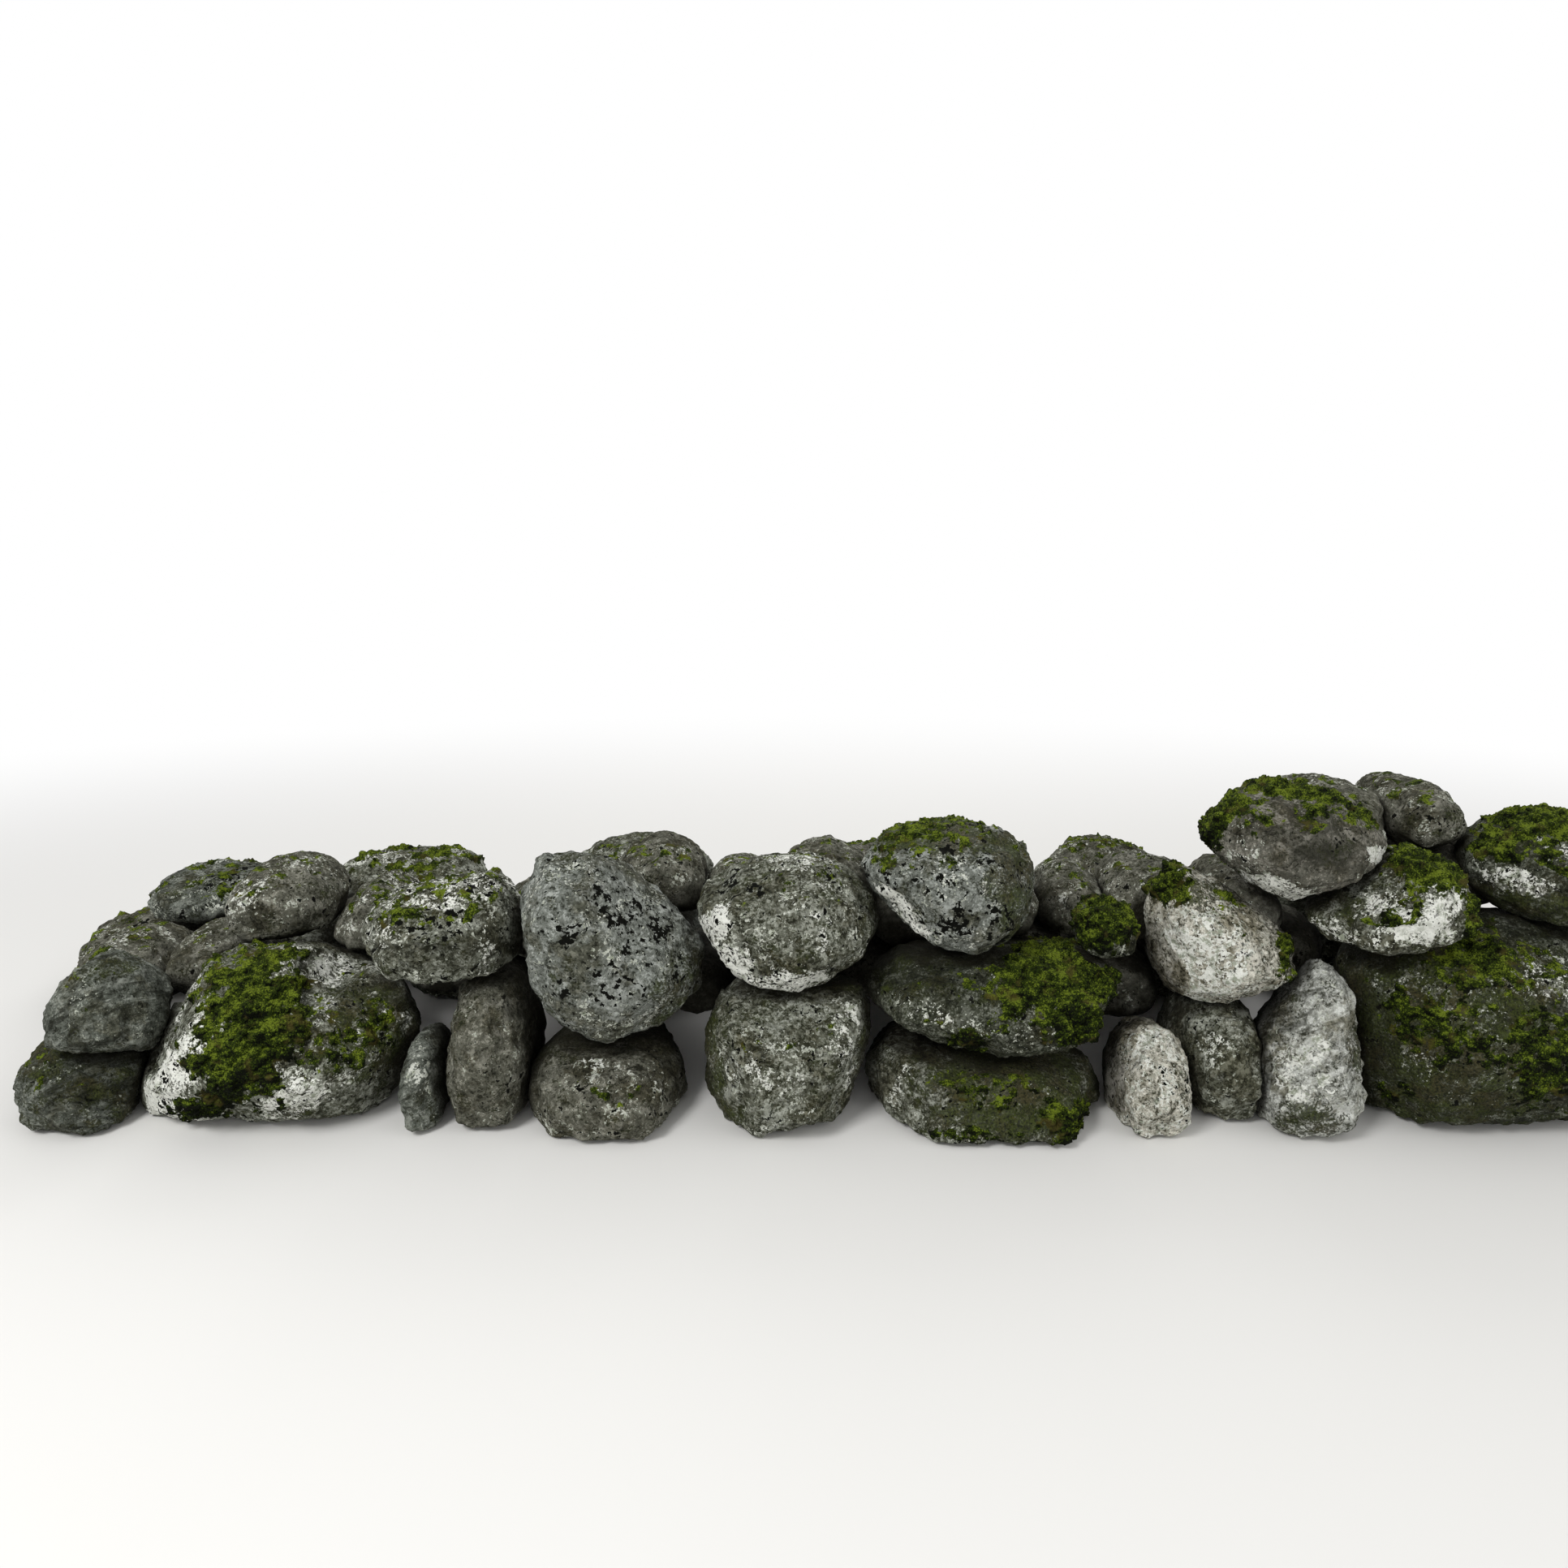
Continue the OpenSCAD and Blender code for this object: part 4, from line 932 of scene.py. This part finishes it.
def chipsOf(look, seed):
    # the chips that the looks list, and smaller ones struck at random
    draw = random.Random(seed)
    least, most = stoneWork["chipShares"]
    chips = list(look.get("chips", []))
    for _ in range(stoneWork["chips"]):
        way = (draw.uniform(-1, 1), draw.uniform(-1, 1), draw.uniform(-0.3, 1))
        chips.append((*way, least + (most - least) * draw.random() ** stoneWork["chipBias"]))
    return chips


def chipped(points, chips, free):
    # flat scars where the stone is free: what stands past a plane is drawn back onto it
    centre = (points.min(0) + points.max(0)) / 2
    for *direction, share in chips:
        way = np.array(direction, float)
        way /= np.linalg.norm(way)
        reach = (points - centre) @ way
        limit = reach.max() - share * (reach.max() - reach.min())
        points = points - (np.maximum(reach - limit, 0) * free)[:, None] * way * stoneWork["chipFlat"]
    return points


def bendAt(mesh, points, normals):
    # how far each point lies under (hollow) or over (ridge) the mean of its neighbours, as a slope
    ends = np.zeros(len(mesh.edges) * 2, int)
    mesh.edges.foreach_get("vertices", ends)
    first, second = ends.reshape(-1, 2).T
    count = np.bincount(ends, minlength=len(points)).clip(1)

    def neighbourMean(values):
        forward = np.bincount(first, values[second], len(points))
        return (forward + np.bincount(second, values[first], len(points))) / count

    mean = np.stack([neighbourMean(points[:, axis]) for axis in range(3)], 1)
    length = neighbourMean(np.linalg.norm(points - mean, axis=1)) + stoneWork["bendLeast"]
    bend = ((mean - points) * normals).sum(1) / length
    for _ in range(stoneWork["bendSteps"]):
        bend = (bend + neighbourMean(bend)) / 2
    return bend


def fitInside(mesh, node):
    # the dressed stone keeps within its solid's own box and stands on its foot
    points, _ = readMesh(mesh)
    low, top = (np.array(corner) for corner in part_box(node))
    have, got = points.min(0), points.max(0)
    want, need = np.maximum(have, low), np.minimum(got, top)
    want[2] = low[2]
    writePoints(mesh, want + (points - have) / (got - have) * (need - want))


def makeStone(node, order):
    look = stoneLooks[node]
    values = stoneWork
    seed = 11 + order * 3
    core, back = look.get("core"), look.get("back")
    piece = closedCopy(node, values["coreVoxel" if core else "backVoxel" if back else "voxel"])
    mesh = piece.data
    points, normals = readMesh(mesh)
    openness = opennessAt(points, normals, othersTree(node))
    if not core:
        writePoints(mesh, chipped(points, chipsOf(look, seed), softStep(openness, *values["chipOpen"])))
    writeCover(mesh, "openCover", openness)
    refine(mesh, openness > values["backFineOpen" if back or core else "fineOpen"])
    points, normals = readMesh(mesh)
    openness = readCover(mesh, "openCover")
    covers, shares, extent, shown = growthCovers(points, normals, openness, look, seed)
    rise = stoneRelief(points, openness, covers, shares, extent, shown, look, seed)
    writePoints(mesh, points + normals * rise[:, None])
    points, normals = readMesh(mesh)
    bend = bendAt(mesh, points, normals)
    covers["ridge"] = softStep(-bend, *values["ridgeEdge"])
    # the hollow cover is painted shade in concave places
    covers["hollow"] = softStep(bend, *values["hollowEdge"]) * values["hollowShare"]
    for kind, cover in covers.items():
        writeCover(mesh, kind + "Cover", np.clip(cover, 0, values["mostCover"]))
    if not core:
        raiseMoss(mesh, seed)
    fitInside(mesh, node)
    mesh.materials.append(materials[look["finish"]])
    mesh.polygons.foreach_set("use_smooth", [True] * len(mesh.polygons))
    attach(piece, "root")
    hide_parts(node)
    return sum(len(p.vertices) - 2 for p in mesh.polygons)


triangles = {}
for order, node in enumerate(sorted(stoneLooks)):
    triangles[node] = makeStone(node, order)
print("stones made:", len(triangles), "triangles:", sum(triangles.values()), "most:", max(triangles.values()))

# Floor and light


def seenDirectly(tree):
    # 1 for what the camera sees, also by way of a reflection, and 0 for what lights the stones
    path = tree.nodes.new("ShaderNodeLightPath").outputs
    mirrored = sums(tree, "MAXIMUM", path["Is Glossy Ray"], path["Is Transmission Ray"])
    return sums(tree, "MAXIMUM", path["Is Camera Ray"], mirrored)


floorSet = {
    "reach": 30.0, "below": 0.0005, "pale": tone(226, 225, 222), "rough": 0.9,
    "stretch": (0.6, 1.0, 1.0), "fade": (1.3, 4.0),  # how far the floor's own tone reaches, in metres
}


def makeFloor(values):
    reach = values["reach"]
    corners = [(-reach, -reach, 0), (reach, -reach, 0), (reach, reach, 0), (-reach, reach, 0)]
    mesh = bpy.data.meshes.new("studioFloor")
    mesh.from_pydata(corners, [], [(0, 1, 2, 3)])
    floor = addObject("studioFloor", mesh)
    floor.location.z = -values["below"]
    material = bpy.data.materials.new("studioFloor")
    tree = emptyTree(material)
    place = addNode(tree, "ShaderNodeTexCoord").outputs["Object"]
    drawn = vectorSums(tree, "MULTIPLY", {0: place, 1: values["stretch"]})
    far = addNode(tree, "ShaderNodeVectorMath", {0: drawn}, operation="LENGTH").outputs["Value"]
    share = times(tree, ramp(tree, far, *values["fade"]), seenDirectly(tree))
    matt = {"Base Color": values["pale"], "Roughness": values["rough"]}
    surface = addNode(tree, "ShaderNodeBsdfPrincipled", matt)
    white = addNode(tree, "ShaderNodeEmission", {"Color": (1, 1, 1, 1), "Strength": 1.0})
    mixed = addNode(tree, "ShaderNodeMixShader", {0: share, 1: surface.outputs[0], 2: white.outputs[0]})
    addNode(tree, "ShaderNodeOutputMaterial", {"Surface": mixed.outputs[0]})
    mesh.materials.append(material)


lampSet = {
    "key": {"place": (-2.6, -3.4, 4.2), "aim": (0.0, 0.0, 0.3), "size": 1.5, "power": 175.0},
    "fill": {"place": (3.6, -2.6, 2.6), "aim": (0.0, 0.0, 0.3), "size": 3.5, "power": 50.0},
    "behind": {"place": (0.5, 4.2, 3.6), "aim": (0.0, 0.0, 0.4), "size": 3.5, "power": 70.0},
}


def makeLamps(values):
    for name, lamp in values.items():
        data = bpy.data.lights.new(name + "Lamp", "AREA")
        data.size = lamp["size"]
        data.energy = lamp["power"]
        holder = addObject(name + "Lamp", data)
        holder.location = lamp["place"]
        way = Vector(lamp["aim"]) - Vector(lamp["place"])
        holder.rotation_euler = way.to_track_quat("-Z", "Y").to_euler()


worldSet = {"light": 0.6, "shown": 1.0}


def makeWorld(values):
    # white to the camera, and dimmer as a light
    world = bpy.data.worlds.new("studioSky")
    scene.world = world
    tree = emptyTree(world)
    light, white = [addNode(tree, "ShaderNodeBackground", {"Color": (1, 1, 1, 1), "Strength": values[name]})
                    for name in ("light", "shown")]
    both = {0: seenDirectly(tree), 1: light.outputs[0], 2: white.outputs[0]}
    mixed = addNode(tree, "ShaderNodeMixShader", both)
    addNode(tree, "ShaderNodeOutputWorld", {"Surface": mixed.outputs[0]})


makeFloor(floorSet)
makeLamps(lampSet)
makeWorld(worldSet)
print("floor and lamps ready")
